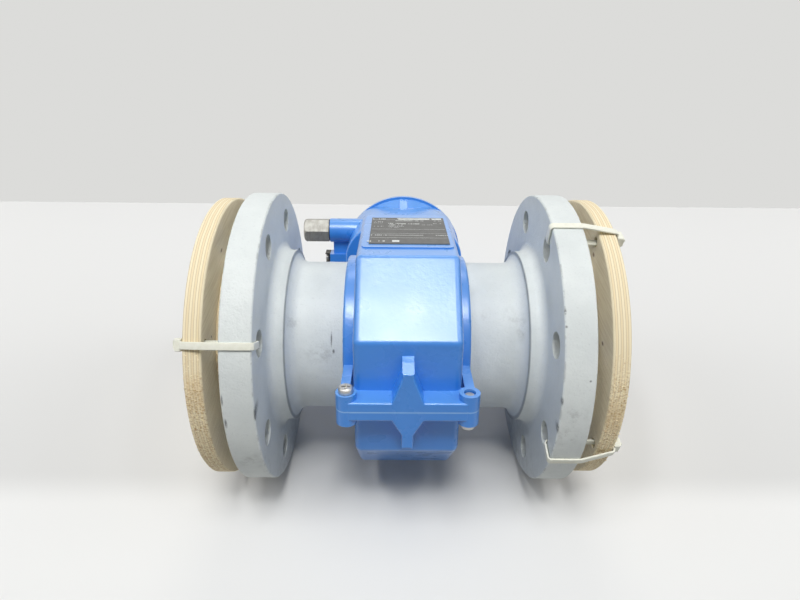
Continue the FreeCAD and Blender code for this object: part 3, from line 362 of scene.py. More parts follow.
# Each mark: its middle, then its reach, both in millimetres. Scuffs are dark and sharp, smudges are pale and soft.
SCUFFS = [((-114.9, 8.5, -109.7), (0.9, 6.5, 5)), ((-114.3, -8.5, -109.6), (1.2, 4.5, 5)),
          ((-95.6, -1, -109.8), (0.8, 14, 6)), ((-95.3, -4, -110), (1.4, 4.5, 4)), ((-52.8, 22, -52.6), (0.8, 8, 7)),
          ((-51.3, 14, -55.4), (1.3, 2.0, 2.2)), ((96.0, 62, -91), (1.0, 2.6, 2.6)),
          ((96.2, 54, -96), (1.4, 1.2, 1.2)), ((112, 22.6, -107.7), (1.1, 1.0, 1.0)),
          ((95.6, 8.6, -109.7), (1.2, 5, 4)), ((95.6, -12, -109.3), (0.8, 9, 5))]
SMUDGES = [((-81, 31, -48), (8, 12, 12)), ((73, 36, -44), (7, 10, 10)), ((80, 30, -50), (5, 14, 12)),
           ((56, 36, -44), (6, 6, 6)), ((-103, -45, -99), (14, 18, 14)), ((-94, -62, -90), (9, 14, 12)),
           ((104, 0, -110), (12, 12, 10)), ((102, -18, -108), (12, 16, 12)), ((-60, 12, -56), (16, 12, 10))]
print("paint marks:", len(SCUFFS), "scuffs,", len(SMUDGES), "smudges")

# %% Grey paint
flange_paint, tree = empty_material("flange_paint")
point = place_on(tree)
reach = along_pipe(tree, point)
radius = from_axis(tree, point)
breakup = mottle(tree, point, 0.0016, 3.0, 0.7)
colour = tint(tree, spread(tree, mottle(tree, point, 0.03), 0.3, 0.75), PAINT_GREY, PAINT_SHADE)
colour = tint(tree, spread(tree, mottle(tree, point, 0.0014, 2.0), 0.58, 0.74, 0.0, SPECK_STRENGTH), colour,
              PAINT_SPECK)
print("paint base:", PAINT_GREY[:3])

# %% Smudges and scuffs
for middle, size in SMUDGES:
    cloud = calc(tree, "MULTIPLY", smear(tree, point, spot(*middle), size),
                 spread(tree, mottle(tree, point, 0.006, 4.0, 0.7), 0.42, 0.7, 0.0, SMUDGE_STRENGTH))
    colour = tint(tree, cloud, colour, DIRT_AND_SHADE_GREY)
for middle, size in SCUFFS:
    mark = calc(tree, "MULTIPLY", smear(tree, point, spot(*middle), size),
                spread(tree, breakup, 0.32, 0.46, 0.0, SCUFF_STRENGTH))
    colour = tint(tree, mark, colour, SMEAR_AND_SHADE_GREY)
print("marks laid on the paint:", len(SMUDGES) + len(SCUFFS))

# %% Painted shade at the hub's end and in the bolt holes, and worn rims
EDGES = (RIM_INNER, RIM_OUTER)
# Painted shade: a dark line in the crease where the hub steps down to the tube.
hub_crease_shade = spread(tree, gap_to(tree, reach, HUB_END), 0.0007, 0.0002)
hub_crease_shade = calc(tree, "MULTIPLY", hub_crease_shade,
                spread(tree, radius, TUBE_RADIUS + 0.005, TUBE_RADIUS + 0.008, 0.0, HUB_CREASE_SHADE_STRENGTH))
colour = tint(tree, hub_crease_shade, colour, SMEAR_AND_SHADE_GREY)
for edge in EDGES:
    worn = calc(tree, "MULTIPLY", spread(tree, gap_to(tree, reach, edge), 0.0012, 0.0003),
                spread(tree, radius, RIM_RADIUS - 0.0015, RIM_RADIUS - 0.0004))
    worn = calc(tree, "MULTIPLY", worn,
                spread(tree, mottle(tree, point, 0.009, 4.0, 0.7), 0.5, 0.62, 0.0, WEAR_STRENGTH))
    colour = tint(tree, worn, colour, DIRT_AND_SHADE_GREY)
# Painted shade: the walls of the bolt holes are darkened.
bolt_hole_shade = calc(tree, "MULTIPLY", spread(tree, reach, RIM_INNER + 0.001, RIM_INNER + 0.010),
               spread(tree, reach, RIM_OUTER - 0.0002, RIM_OUTER - 0.0010))
bolt_hole_shade = calc(tree, "MULTIPLY", bolt_hole_shade,
               spread(tree, radius, BOLT_CIRCLE + 0.012, BOLT_CIRCLE + 0.010, 0.0, BOLT_HOLE_SHADE))
colour = tint(tree, bolt_hole_shade, colour, DIRT_AND_SHADE_GREY)
print("worn edges:", len(EDGES))

# %% Darker towards the bottom, and the peel
# The paint darkens in patches towards the bottom.
low = add(tree, "ShaderNodeSeparateXYZ", Vector=point).outputs["Z"]
lower_darkening = calc(tree, "MULTIPLY", spread(tree, low, *LOWER_DARKENING_ZONE),
             spread(tree, mottle(tree, point, 0.008, 4.0, 0.7), 0.4, 0.65))
colour = tint(tree, calc(tree, "MULTIPLY", lower_darkening, LOWER_DARKENING_STRENGTH), colour, DIRT_AND_SHADE_GREY)
# Each wave: how wide and how high, in metres.
PEEL = ((0.0045, 0.00030), (0.0013, 0.00022))
normal = None
for wave, rise in PEEL:
    normal = raised(tree, mottle(tree, point, wave, 2.0), rise, normal)
surface(tree, Base_Color=colour, Roughness=PAINT_ROUGHNESS, Normal=normal)
print("peel waves:", len(PEEL))

# %% [markdown]
# ## Blue powder coat
# The cast shells, neck, housing and cover are coated with glossy blue powder. Melted powder flows smooth but
# keeps a faint peel, seen only where it mirrors a lamp. A clear coat on the shader gives the mirror. Faces that
# look up get a paler tint, which is painted light from the lamps overhead. The joint between the two shells is
# painted a paler blue, which is a painted highlight along the seam.

# %% Blue coat
BLUE = (0.036, 0.252, 0.76, 1)
BLUE_DEEP = (0.031, 0.228, 0.71, 1)
# The joint's paler blues are a painted highlight: the light line along the seam between the shells.
SEAM_HIGHLIGHT_BLUE = (0.22, 0.46, 0.86, 1)
SEAM_HIGHLIGHT_BLUE_DEEP = (0.20, 0.42, 0.80, 1)
SEAM_PALE_MOTTLE = 0.2
# Faces that look up are tinted towards this paler blue: painted light from the lamps overhead. The joint between the
# shells also takes it in pale patches.
PAINTED_LIGHT_BLUE = (0.42, 0.70, 0.88, 1)
PAINTED_LIGHT_ON_TOP = 0.15
GLOSS = (0.26, 0.36)
CLEAR_COAT = {"Coat_Weight": 1.0, "Coat_Roughness": 0.3}
# Each wave: how wide in metres, its detail, and how high in metres.
COAT_PEEL = ((0.0030, 2.0, 0.00017), (0.0009, 1.0, 0.00002))


def blue_finish(name, light, deep, pale_mottle):
    """Glossy coat in two close blues, with a faint peel, a pale mottle, and a paler tint on faces that look up,
    which is painted light.
    """
    material, tree = empty_material(name)
    point = place_on(tree)
    colour = tint(tree, spread(tree, mottle(tree, point, 0.05), 0.35, 0.7), light, deep)
    up = add(tree, "ShaderNodeSeparateXYZ", Vector=add(tree, "ShaderNodeTexCoord").outputs["Normal"]).outputs["Z"]
    # Painted light: a paler tint on faces that look up, with pale patches wherever a mottle is asked for.
    painted_light = calc(tree, "ADD", spread(tree, mottle(tree, point, 0.012, 5.0, 0.65), 0.45, 0.8, 0.0, pale_mottle),
                   spread(tree, up, 0.45, 0.95, 0.0, PAINTED_LIGHT_ON_TOP))
    colour = tint(tree, painted_light, colour, PAINTED_LIGHT_BLUE)
    gloss = spread(tree, mottle(tree, point, 0.02, 3.0), 0.3, 0.7, *GLOSS)
    normal = None
    for wave, detail, rise in COAT_PEEL:
        normal = raised(tree, mottle(tree, point, wave, detail), rise, normal)
    surface(tree, Base_Color=colour, Roughness=gloss, Normal=normal, **CLEAR_COAT)
    return material


blue_coat = blue_finish("blue_coat", BLUE, BLUE_DEEP, 0.0)
seam_painted_highlight = blue_finish("seam_painted_highlight", SEAM_HIGHLIGHT_BLUE, SEAM_HIGHLIGHT_BLUE_DEEP, SEAM_PALE_MOTTLE)
print("blue coats made, gloss", GLOSS)

# %% [markdown]
# ## Plywood
# The boards over the flanges are seven plies of birch, glued cross-wise. A sawn rim shows them as bands along the
# cut: plies cut along the grain are smooth and pale, plies cut across it are darker and drink the light, and the
# glue lines are thin and brown. The lower half of each rim was cut with a coarse blade, so it is torn and
# speckled. The bands come from the distance along the pipe, and the torn zone from a height and a noise.

# %% Colours and places of the plywood
BOARD_INNER = 0.1276
BOARD_THICK = 0.0115
PLIES = 7
BIRCH = (0.88, 0.78, 0.56, 1)
BIRCH_END = (0.80, 0.67, 0.42, 1)
# The faces' two tones are raised well above the wood's own colour: painted light on the faces of the boards.
BIRCH_FACE_PAINTED_LIGHT = (0.97, 0.86, 0.66, 1)
BIRCH_FACE_GRAIN_PAINTED_LIGHT = (0.86, 0.74, 0.54, 1)
KNOT_AND_HOLE_BROWN = (0.20, 0.10, 0.04, 1)
GLUE = (0.47, 0.33, 0.20, 1)
TORN_DARK = (0.52, 0.31, 0.10, 1)
TORN_LIGHT = (1.0, 0.88, 0.60, 1)
STAIN = (0.62, 0.42, 0.20, 1)
CROSS_STRENGTH = 0.75
GLUE_STRENGTH = 0.75
STAIN_STRENGTH = 0.28
KNOT_AND_HOLE_STRENGTH = 0.85
WOOD_ROUGHNESS = 0.78
TORN_DEPTH = 0.0009
# Heights in metres: the torn zone starts between the first two and fades between the others.
TORN_TOP = (0.066, 0.050)
TORN_FADE = (-0.090, -0.040)
TORN_LEAST = 0.15
# Each mark on the boards: its middle, then its reach, both in millimetres. The first three are knots; the last is a
# small hole in the right board, and its dark colour is painted shade.
KNOTS_AND_HOLE = [((-127.6, 81, -35.4), (3, 3.2, 1.6)), ((-127.6, 36, -77), (3, 1.3, 1.1)),
         ((127.6, 33, -77.5), (3, 2.6, 1.8)), ((127.6, 80.5, -37), (3, 3, 2.2))]
STAINS = [((-133, 10, -105), (14, 22, 18)), ((133, -8, -104), (14, 26, 18))]
print("knots:", len(KNOTS_AND_HOLE), "stains:", len(STAINS))


# %% Plies of the rims
def stretched(tree, point, reach):
    """The point with each axis measured in a length of its own, so that noise comes out long or flat."""
    node = add(tree, "ShaderNodeVectorMath", {"operation": "DIVIDE"})
    tree.links.new(point, node.inputs[0])
    node.inputs[1].default_value = [side * MM for side in reach]
    return node.outputs["Vector"]


plywood, tree = empty_material("plywood")
point = place_on(tree)
reach = along_pipe(tree, point)
apart = add(tree, "ShaderNodeSeparateXYZ", Vector=point)
waver = calc(tree, "MULTIPLY", mottle(tree, point, 0.02, 2.0), 0.5)
into_board = calc(tree, "SUBTRACT", reach, BOARD_INNER)
ply = calc(tree, "ADD", calc(tree, "MULTIPLY", into_board, PLIES / BOARD_THICK), waver)
within = gap_to(tree, calc(tree, "FRACT", ply), 0.5)
glue_line = spread(tree, within, 0.36, 0.48, 0.0, GLUE_STRENGTH)
cross = spread(tree, calc(tree, "FRACT", calc(tree, "MULTIPLY", ply, 0.5)), 0.48, 0.52)
fine = add(tree, "ShaderNodeTexNoise", Vector=stretched(tree, point, (3.0, 0.7, 0.7)), Scale=1.0, Detail=3.0)
rim_colour = tint(tree, calc(tree, "MULTIPLY", cross, CROSS_STRENGTH), BIRCH, BIRCH_END)
rim_colour = tint(tree, glue_line, rim_colour, GLUE)
rim_colour = tint(tree, spread(tree, fine.outputs["Fac"], 0.5, 0.8, 0.0, 0.35), rim_colour, BIRCH_END)
print("plies:", PLIES)

# %% Torn half and stains of the rims
torn = spread(tree, calc(tree, "ADD", apart.outputs["Z"], calc(tree, "MULTIPLY", mottle(tree, point, 0.02), 0.03)),
              *TORN_TOP)
torn = calc(tree, "MULTIPLY", torn, spread(tree, apart.outputs["Z"], *TORN_FADE, TORN_LEAST, 1.0))
saw = add(tree, "ShaderNodeTexNoise", Vector=stretched(tree, point, (1.5, 1.0, 1.0)), Scale=1.0, Detail=2.0,
          Roughness=0.6).outputs["Fac"]
# Dark and pale splinters: the noise's range that shows them, how strongly, and in which colour.
SPLINTERS = ((0.54, 0.62, 0.7, TORN_DARK), (0.46, 0.38, 0.9, TORN_LIGHT))
for faint, full, strength, shade in SPLINTERS:
    amount = calc(tree, "MULTIPLY", torn, spread(tree, saw, faint, full, 0.0, strength))
    rim_colour = tint(tree, amount, rim_colour, shade)
stain = calc(tree, "MAXIMUM", *(smear(tree, point, spot(*middle), size) for middle, size in STAINS))
rim_colour = tint(tree, calc(tree, "MULTIPLY", stain, STAIN_STRENGTH), rim_colour, STAIN)
print("rims torn and stained")

# %% Faces, knots, painted shade in a hole, and bump of the plywood
grain = add(tree, "ShaderNodeTexNoise", Vector=stretched(tree, point, (1.5, 28.0, 1.5)), Scale=1.0, Detail=4.0)
# Painted light: the faces take tones raised above the wood's own colour.
face_colour = tint(tree, spread(tree, grain.outputs["Fac"], 0.35, 0.7), BIRCH_FACE_PAINTED_LIGHT, BIRCH_FACE_GRAIN_PAINTED_LIGHT)
facing = add(tree, "ShaderNodeSeparateXYZ", Vector=add(tree, "ShaderNodeTexCoord").outputs["Normal"])
on_face = spread(tree, calc(tree, "ABSOLUTE", facing.outputs["X"]), 0.8, 0.95)
# Knots, and the painted shade of the hole.
for middle, size in KNOTS_AND_HOLE:
    knot_and_hole_mark = calc(tree, "MULTIPLY", smear(tree, point, spot(*middle), size), KNOT_AND_HOLE_STRENGTH)
    face_colour = tint(tree, knot_and_hole_mark, face_colour, KNOT_AND_HOLE_BROWN)
colour = tint(tree, on_face, rim_colour, face_colour)
normal = raised(tree, fine.outputs["Fac"], 0.0002)
normal = raised(tree, calc(tree, "MULTIPLY", torn, saw), TORN_DEPTH, normal)
surface(tree, Base_Color=colour, Roughness=WOOD_ROUGHNESS, Normal=normal)
print("plywood done, roughness", WOOD_ROUGHNESS)

# %% [markdown]
# ## Metals
# The reducer is nickel-plated brass, the screws are stainless and the earth clamp is old dark steel. Turned and
# plated metal shows fine scratches that run round or across the piece, so the roughness comes from a noise that is
# stretched along one axis.

# %% Metals
def metal_finish(name, colour, second, roughness, stretch):
    """A metal with fine lines, long in one direction, and dull patches."""
    material, tree = empty_material(name)
    point = place_on(tree)
    lines = add(tree, "ShaderNodeTexNoise", Vector=stretched(tree, point, stretch), Scale=1.0, Detail=3.0)
    patches = spread(tree, mottle(tree, point, 0.006, 3.0), 0.35, 0.7)
    shine = calc(tree, "ADD", spread(tree, lines.outputs["Fac"], 0.3, 0.7, roughness, roughness + 0.14),
                 calc(tree, "MULTIPLY", patches, 0.06))
    normal = raised(tree, lines.outputs["Fac"], 0.00003)
    surface(tree, Base_Color=tint(tree, patches, (*colour, 1), (*second, 1)), Metallic=1.0, Roughness=shine,
            Normal=normal)
    return material


stainless = metal_finish("stainless", (0.62, 0.61, 0.58), (0.52, 0.51, 0.49), 0.30, (0.4, 0.4, 3.0))
bright_nickel = metal_finish("bright_nickel", (0.42, 0.415, 0.385), (0.37, 0.36, 0.33), 0.56, (0.5, 5.0, 5.0))
dark_steel = metal_finish("dark_steel", (0.16, 0.15, 0.13), (0.05, 0.05, 0.05), 0.4, (0.6, 0.6, 0.6))
print("metals made")

# %% [markdown]
# ## Plain finishes
# Small and hidden pieces share one recipe: a colour that wanders a little, a roughness, and a fine bump.

# %% Plain finishes
def plain_finish(name, colour, second, roughness, metallic=0.0, grain=0.002, bump=0.00005):
    """A finish of two near colours with a fine bump."""
    material, tree = empty_material(name)
    point = place_on(tree)
    fac = spread(tree, mottle(tree, point, grain), 0.3, 0.7)
    normal = raised(tree, mottle(tree, point, grain, 2.0), bump)
    surface(tree, Base_Color=tint(tree, fac, (*colour, 1), (*second, 1)), Roughness=roughness, Metallic=metallic,
            Normal=normal)
    return material


# Each: colour, second colour, roughness, then metallic, size of the grain and height of the bump where they differ.
PLAIN = {
    "coil_steel": ((0.40, 0.40, 0.42), (0.34, 0.34, 0.36), 0.45, 1.0),
    "copper_wire": ((0.70, 0.30, 0.14), (0.56, 0.22, 0.10), 0.4, 1.0, 0.0012, 0.0002),
    "liner_polymer": ((0.86, 0.86, 0.83), (0.80, 0.80, 0.77), 0.4),
    "insulator": ((0.80, 0.78, 0.72), (0.74, 0.72, 0.66), 0.45),
    "seal_rubber": ((0.045, 0.045, 0.045), (0.06, 0.06, 0.06), 0.7),
    "lead_sleeve": ((0.09, 0.09, 0.10), (0.12, 0.12, 0.13), 0.6),
    "board_green": ((0.03, 0.20, 0.09), (0.04, 0.25, 0.12), 0.35),
    "terminal_plastic": ((0.34, 0.36, 0.37), (0.29, 0.31, 0.32), 0.5),
    "plate_grey": ((0.118, 0.117, 0.112), (0.090, 0.090, 0.086), 0.45, 0.0, 0.004, 0.00003),
    "nylon": ((0.84, 0.84, 0.74), (0.80, 0.80, 0.69), 0.35, 0.0, 0.003, 0.00004),
}
FINISHES = {"flange_paint": flange_paint, "blue_coat": blue_coat, "stainless": stainless,
            "bright_nickel": bright_nickel, "plywood": plywood}
for name, values in PLAIN.items():
    FINISHES[name] = plain_finish(name, *values)
print("finishes:", len(FINISHES))

# %% [markdown]
# ## Finishes onto the solids
# Every solid names the slot of its finish in the imported record, so one loop dresses them all. Two pieces get a
# finish of their own in the same slot: the joint between the shells, painted a paler blue as a painted highlight
# along the seam, and the earth clamp.

# %% Finishes onto the solids
for subpart in frame["record"]["subparts"]:
    node_mesh = nodes[subpart["node"]].data
    node_mesh.materials.clear()
    node_mesh.materials.append(FINISHES[subpart["material_slot"]])
# The joint between the shells gets the paler blue: a painted highlight along the seam.
nodes["shell_gasket"].data.materials[0] = seam_painted_highlight
nodes["earth_clamp"].data.materials[0] = dark_steel

# %% [markdown]
# ## Geometry by nodes
# Print, fibres and straps repeat a shape or follow a path, so Geometry Nodes make them. Each tree has named
# inputs. The helpers build a tree, run it once on a base mesh or curve, and keep only the finished mesh.

# %% Geometry Nodes helpers
def new_tree(name, inputs):
    """An empty geometry tree with a geometry input, named inputs of a type, and a geometry output."""
    tree = bpy.data.node_groups.new(name, "GeometryNodeTree")
    tree.interface.new_socket("Geometry", in_out="INPUT", socket_type="NodeSocketGeometry")
    for label, kind in inputs.items():
        tree.interface.new_socket(label, in_out="INPUT", socket_type=f"NodeSocket{kind}")
    tree.interface.new_socket("Geometry", in_out="OUTPUT", socket_type="NodeSocketGeometry")
    return tree, tree.nodes.new("NodeGroupInput"), tree.nodes.new("NodeGroupOutput")


def finish_tree(tree, out, geometry, material):
    """Realise the copies, give them their finish and lead them out."""
    real = add(tree, "GeometryNodeRealizeInstances", Geometry=geometry)
    finish = add(tree, "GeometryNodeSetMaterial", Geometry=real.outputs[0], Material=material)
    tree.links.new(finish.outputs[0], out.inputs[0])


def run_tree(name, base, tree, values):
    """Run a tree on base data, with its inputs set by identifier, and return the result as a plain mesh."""
    carrier = bpy.data.objects.new(f"{name}_base", base)
    bpy.context.scene.collection.objects.link(carrier)
    modifier = carrier.modifiers.new("nodes", "NODES")
    modifier.node_group = tree
    for socket in tree.interface.items_tree:
        if socket.in_out == "INPUT" and socket.name in values:
            modifier[socket.identifier] = values[socket.name]
    bpy.context.view_layer.update()
    evaluated = carrier.evaluated_get(bpy.context.evaluated_depsgraph_get())
    mesh = bpy.data.meshes.new_from_object(evaluated)
    bpy.data.objects.remove(carrier)
    mesh.name = name
    finish = [material for material in mesh.materials if material][-1]
    mesh.materials.clear()
    mesh.materials.append(finish)
    mesh.polygons.foreach_set("material_index", [0] * len(mesh.polygons))
    return mesh


def add_piece(name, mesh, body="meter"):
    """Make an object of a finished mesh and let it ride on a body."""
    piece = bpy.data.objects.new(name, mesh)
    bpy.context.scene.collection.objects.link(piece)
    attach(piece, body)
    return piece


print("helpers for node trees defined")

# %% [markdown]
# ## Print on the nameplate
# The plate is printed in rows of small pale marks, too fine to read from here, with a bold strip at the top and a
# few thin rules. Each row is one edge. A tree turns it into points at a pitch, drops some at random, and puts a
# bar of random length on each of the others, so the print looks like text and says nothing. The rules and the
# strip are plain boxes.

# %% Rows of print
PLATE_PLACE = (1.2, 85.0, 4.0)
MARK_PITCH = 0.0013
MARK_LENGTHS = (0.0004, 0.0016)
MARK_THICKNESS = 0.00004
MARKS_KEPT = 0.74
# Each row or rule: how far up the plate, its left and right end, and its height, all in millimetres.
ROWS = [(31.0, -8, 26, 3.6), (31.4, -8, 17, 2.6), (31.4, 19, 26, 3.4), (29.6, -27, -18, 3.4), (24.8, -13, 13, 2.4),
        (24.6, 21, 26, 1.2), (21.5, -27, -20, 2.2), (18.5, -26, -20, 1.2), (17.2, -15, -5, 3.0), (16.2, -5, 8, 3.2),
        (17.5, 20, 25, 1.3), (13.0, -14, -2, 2.4), (13.6, 11, 18, 1.1), (9.6, -15, -4, 2.2), (6.6, -14, -6, 1.2),
        (9.0, -27, -19, 1.4), (-13.8, -27, -17, 2.4), (-13.8, -16, 10, 1.6), (-13.8, 20, 28, 2.2),
        (-28.4, -29, -24, 4.4), (-28.0, -23, -18, 4.4)]
RULES = [(30.3, -7.5, 17, 4.2), (30.3, 19, 26.5, 4.4), (27.8, -27.5, 27.5, 0.25), (1.5, -27.5, 27.5, 0.3),
         (-9.5, -27.5, 27.5, 0.25), (-13.8, -15, 10, 0.7), (-20.0, -27.5, 27.5, 0.3), (-27.8, -12, -7, 4.0)]

plate_print = plain_finish("plate_print", (0.80, 0.83, 0.80), (0.62, 0.64, 0.62), 0.45)
rows = bpy.data.meshes.new("print_rows")
ends = [(across, along, 0) for along, left, right, _ in ROWS for across in (left, right)]
rows.from_pydata([[side * MM for side in end] for end in ends],
                 [(2 * number, 2 * number + 1) for number in range(len(ROWS))], [])
tall = rows.attributes.new("tall", "FLOAT", "POINT")
tall.data.foreach_set("value", [row[3] for row in ROWS for _ in (0, 1)])
print("print rows:", len(ROWS))

# %% Print tree
tree, given, out = new_tree("print_marks", {"Pitch": "Float", "Thickness": "Float", "Kept": "Float", "Seed": "Int"})
line = add(tree, "GeometryNodeMeshToCurve", Mesh=given.outputs["Geometry"])
points = add(tree, "GeometryNodeCurveToPoints", {"mode": "LENGTH"}, Curve=line.outputs[0],
             Length=given.outputs["Pitch"])
chosen = add(tree, "FunctionNodeRandomValue", {"data_type": "BOOLEAN"}, Probability=given.outputs["Kept"],
             Seed=given.outputs["Seed"])
dropped = add(tree, "FunctionNodeBooleanMath", {"operation": "NOT"}, Boolean=chosen.outputs["Value"])
kept = add(tree, "GeometryNodeDeleteGeometry", Geometry=points.outputs[0], Selection=dropped.outputs[0])
bar_size = add(tree, "ShaderNodeCombineXYZ", X=1.0, Y=1.0, Z=given.outputs["Thickness"])
bar = add(tree, "GeometryNodeMeshCube", Size=bar_size.outputs[0])
random_length = add(tree, "FunctionNodeRandomValue", {"data_type": "FLOAT"})
random_length.inputs[2].default_value, random_length.inputs[3].default_value = MARK_LENGTHS
tree.links.new(given.outputs["Seed"], random_length.inputs["Seed"])
height = add(tree, "GeometryNodeInputNamedAttribute", Name="tall")
stretch = add(tree, "ShaderNodeCombineXYZ", X=random_length.outputs[1],
              Y=calc(tree, "MULTIPLY", height.outputs["Attribute"], 0.5 * MM), Z=1.0)
bars = add(tree, "GeometryNodeInstanceOnPoints", Points=kept.outputs[0], Instance=bar.outputs[0],
           Scale=stretch.outputs[0])
finish_tree(tree, out, bars.outputs[0], plate_print)
print("nodes in the print tree:", len(tree.nodes))

# %% Print piece
print_mesh = run_tree("plate_print", rows, tree, {"Pitch": MARK_PITCH, "Thickness": MARK_THICKNESS,
                                                  "Kept": MARKS_KEPT, "Seed": 5})
shape = bmesh.new()
shape.from_mesh(print_mesh)
for along, left, right, tall_mm in RULES:
    middle = Matrix.Translation(((left + right) / 2 * MM, along * MM, 0))
    bmesh.ops.create_cube(shape, size=1.0, matrix=middle @ Matrix.Diagonal(
        ((right - left) * MM, tall_mm * MM, MARK_THICKNESS, 1)))
shape.to_mesh(print_mesh)
shape.free()
LAID_ON_PLATE = Matrix((PIPE, NECK, PLATE)).transposed().to_4x4()
print_mesh.transform(Matrix.Translation(spot(*PLATE_PLACE)) @ LAID_ON_PLATE)
add_piece("plate_print", print_mesh)
print("print marks:", len(print_mesh.polygons) // 6)

# %% [markdown]
# ## Torn fibres on the plywood
# The coarse saw left splinters standing on the rims. A band of faces lies over the torn part of each rim. Points
# are scattered on it, and each gets a thin four-sided splinter, turned to lie along the face and sized at random.

# %% Fibre band
BAND_STEPS = 60


def rim_band(radius, middle, start, stop, inner, outer):
    """A strip of faces on a rim, from one angle to another, measured from the lug towards the plate."""
    corners, faces = [], []
    for step in range(BAND_STEPS + 1):
        angle = math.radians(start + (stop - start) * step / BAND_STEPS)
        for along in (inner, outer):
            corners.append(spot(along, radius * math.sin(angle), middle - radius * math.cos(angle)))
    for step in range(BAND_STEPS):
        low = 2 * step
        faces.append((low, low + 1, low + 3, low + 2) if outer > inner else (low, low + 2, low + 3, low + 1))
    mesh = bpy.data.meshes.new("rim_band")
    mesh.from_pydata(corners, [], faces)
    return mesh


print("band steps:", BAND_STEPS)

# %% Fibre tree
TURNS = ((-0.35, -0.5, -0.5), (0.35, 0.5, 0.5))
SCALES = ((0.4, 0.5, 0.5), (1.3, 1.2, 1.2))
splinter_finish = plain_finish("splinter", (0.93, 0.83, 0.60), (0.72, 0.56, 0.34), 0.75, 0.0, 0.004, 0.00003)
tree, given, out = new_tree("torn_fibres", {"Density": "Float", "Length": "Float", "Thickness": "Float",
                                            "Seed": "Int"})
scatter = add(tree, "GeometryNodeDistributePointsOnFaces", Mesh=given.outputs["Geometry"],
              Density=given.outputs["Density"], Seed=given.outputs["Seed"])
splinter_size = add(tree, "ShaderNodeCombineXYZ", X=given.outputs["Length"], Y=given.outputs["Thickness"],
                    Z=given.outputs["Thickness"])
splinter = add(tree, "GeometryNodeMeshCube", Size=splinter_size.outputs[0])
turn = add(tree, "FunctionNodeRandomValue", {"data_type": "FLOAT_VECTOR"})
turn.inputs[0].default_value, turn.inputs[1].default_value = TURNS
size = add(tree, "FunctionNodeRandomValue", {"data_type": "FLOAT_VECTOR"})
size.inputs[0].default_value, size.inputs[1].default_value = SCALES
fibres = add(tree, "GeometryNodeInstanceOnPoints", Points=scatter.outputs["Points"], Instance=splinter.outputs[0],
             Rotation=turn.outputs[0], Scale=size.outputs[0])
finish_tree(tree, out, fibres.outputs[0], splinter_finish)
print("nodes in the fibre tree:", len(tree.nodes))

# %% Fibres on both boards
# Millimetres, and degrees from the lug towards the plate. The right board sits off the middle, towards the neck.
BAND_RADIUS = 105.9
BAND_ANGLES = (-32, 20)
BAND_REACH = (128.2, 138.6)
BOARD_SHIFT = 2.6
FIBRES = {"Density": 240000.0, "Length": 0.0015, "Thickness": 0.00042}
for side, name, middle, seed in ((-1, "left", 0.0, 3), (1, "right", BOARD_SHIFT, 8)):
    band = rim_band(BAND_RADIUS, middle, *BAND_ANGLES, *(side * reach_mm for reach_mm in BAND_REACH))
    fibre_mesh = run_tree(f"fibres_{name}", band, tree, {**FIBRES, "Seed": seed})
    add_piece(f"fibres_{name}", fibre_mesh)
    print("fibres", name, len(fibre_mesh.polygons) // 6)

# %% [markdown]
# ## Cable ties
# A cable tie is a flat nylon strap with fine teeth on one side and a lock head. The CAD solid has the loop; the
# piece here follows the same loop with rounded edges, teeth all along its inner side and a head with a window.
# The loop is drawn flat as a curve. A tree rounds its corners, sweeps the strap's section along it and puts the
# teeth at a pitch. Then the whole tie is turned to its bolt hole.

# %% Strap tree
# Shares of the strap's thickness, width and pitch.
CORNER_SHARE = 0.28
TOOTH_SHARES = (0.25, 0.55, 0.5)
INWARD = -0.45
tree, given, out = new_tree("strap", {"Width": "Float", "Thickness": "Float", "Bend": "Float", "Pitch": "Float"})
rounded = add(tree, "GeometryNodeFilletCurve", {"mode": "POLY"}, Curve=given.outputs["Geometry"], Count=8,
              Radius=given.outputs["Bend"])
upright = add(tree, "GeometryNodeSetCurveNormal", {"mode": "Z_UP"}, Curve=rounded.outputs[0])
section = add(tree, "GeometryNodeCurvePrimitiveQuadrilateral", Width=given.outputs["Thickness"],
              Height=given.outputs["Width"])
section = add(tree, "GeometryNodeFilletCurve", {"mode": "POLY"}, Curve=section.outputs[0], Count=3,
              Radius=calc(tree, "MULTIPLY", given.outputs["Thickness"], CORNER_SHARE))
strap = add(tree, "GeometryNodeCurveToMesh", Curve=upright.outputs[0], Profile_Curve=section.outputs[0])
places = add(tree, "GeometryNodeCurveToPoints", {"mode": "LENGTH"}, Curve=upright.outputs[0],
             Length=given.outputs["Pitch"])
sides = [calc(tree, "MULTIPLY", given.outputs[label], share)
         for label, share in zip(("Thickness", "Width", "Pitch"), TOOTH_SHARES)]
tooth_size = add(tree, "ShaderNodeCombineXYZ", X=sides[0], Y=sides[1], Z=sides[2])
tooth = add(tree, "GeometryNodeMeshCube", Size=tooth_size.outputs[0])
teeth = add(tree, "GeometryNodeInstanceOnPoints", Points=places.outputs[0], Instance=tooth.outputs[0],
            Rotation=places.outputs["Rotation"])
inward = add(tree, "ShaderNodeCombineXYZ", X=calc(tree, "MULTIPLY", given.outputs["Thickness"], INWARD))
moved = add(tree, "GeometryNodeTranslateInstances", Instances=teeth.outputs[0], Translation=inward.outputs[0])
joined = add(tree, "GeometryNodeJoinGeometry")
tree.links.new(strap.outputs[0], joined.inputs[0])
tree.links.new(moved.outputs[0], joined.inputs[0])
finish_tree(tree, out, joined.outputs[0], FINISHES["nylon"])
print("nodes in the strap tree:", len(tree.nodes))

# %% Lock head
HEAD_LENGTH = 8.4
HEAD_RINGS = ((-4.0, 0.5), (-3.6, 0.0), (3.6, 0.0), (4.0, 0.5))
# Two lips of the window and the strap's trimmed end: how far up from the window, then thick, wide and long.
HEAD_BLOCKS = ((1.5, 0.5, 5.8, 5.1), (-1.5, 0.5, 5.8, 5.1), (0.0, 1.2, 4.6, 5.9))


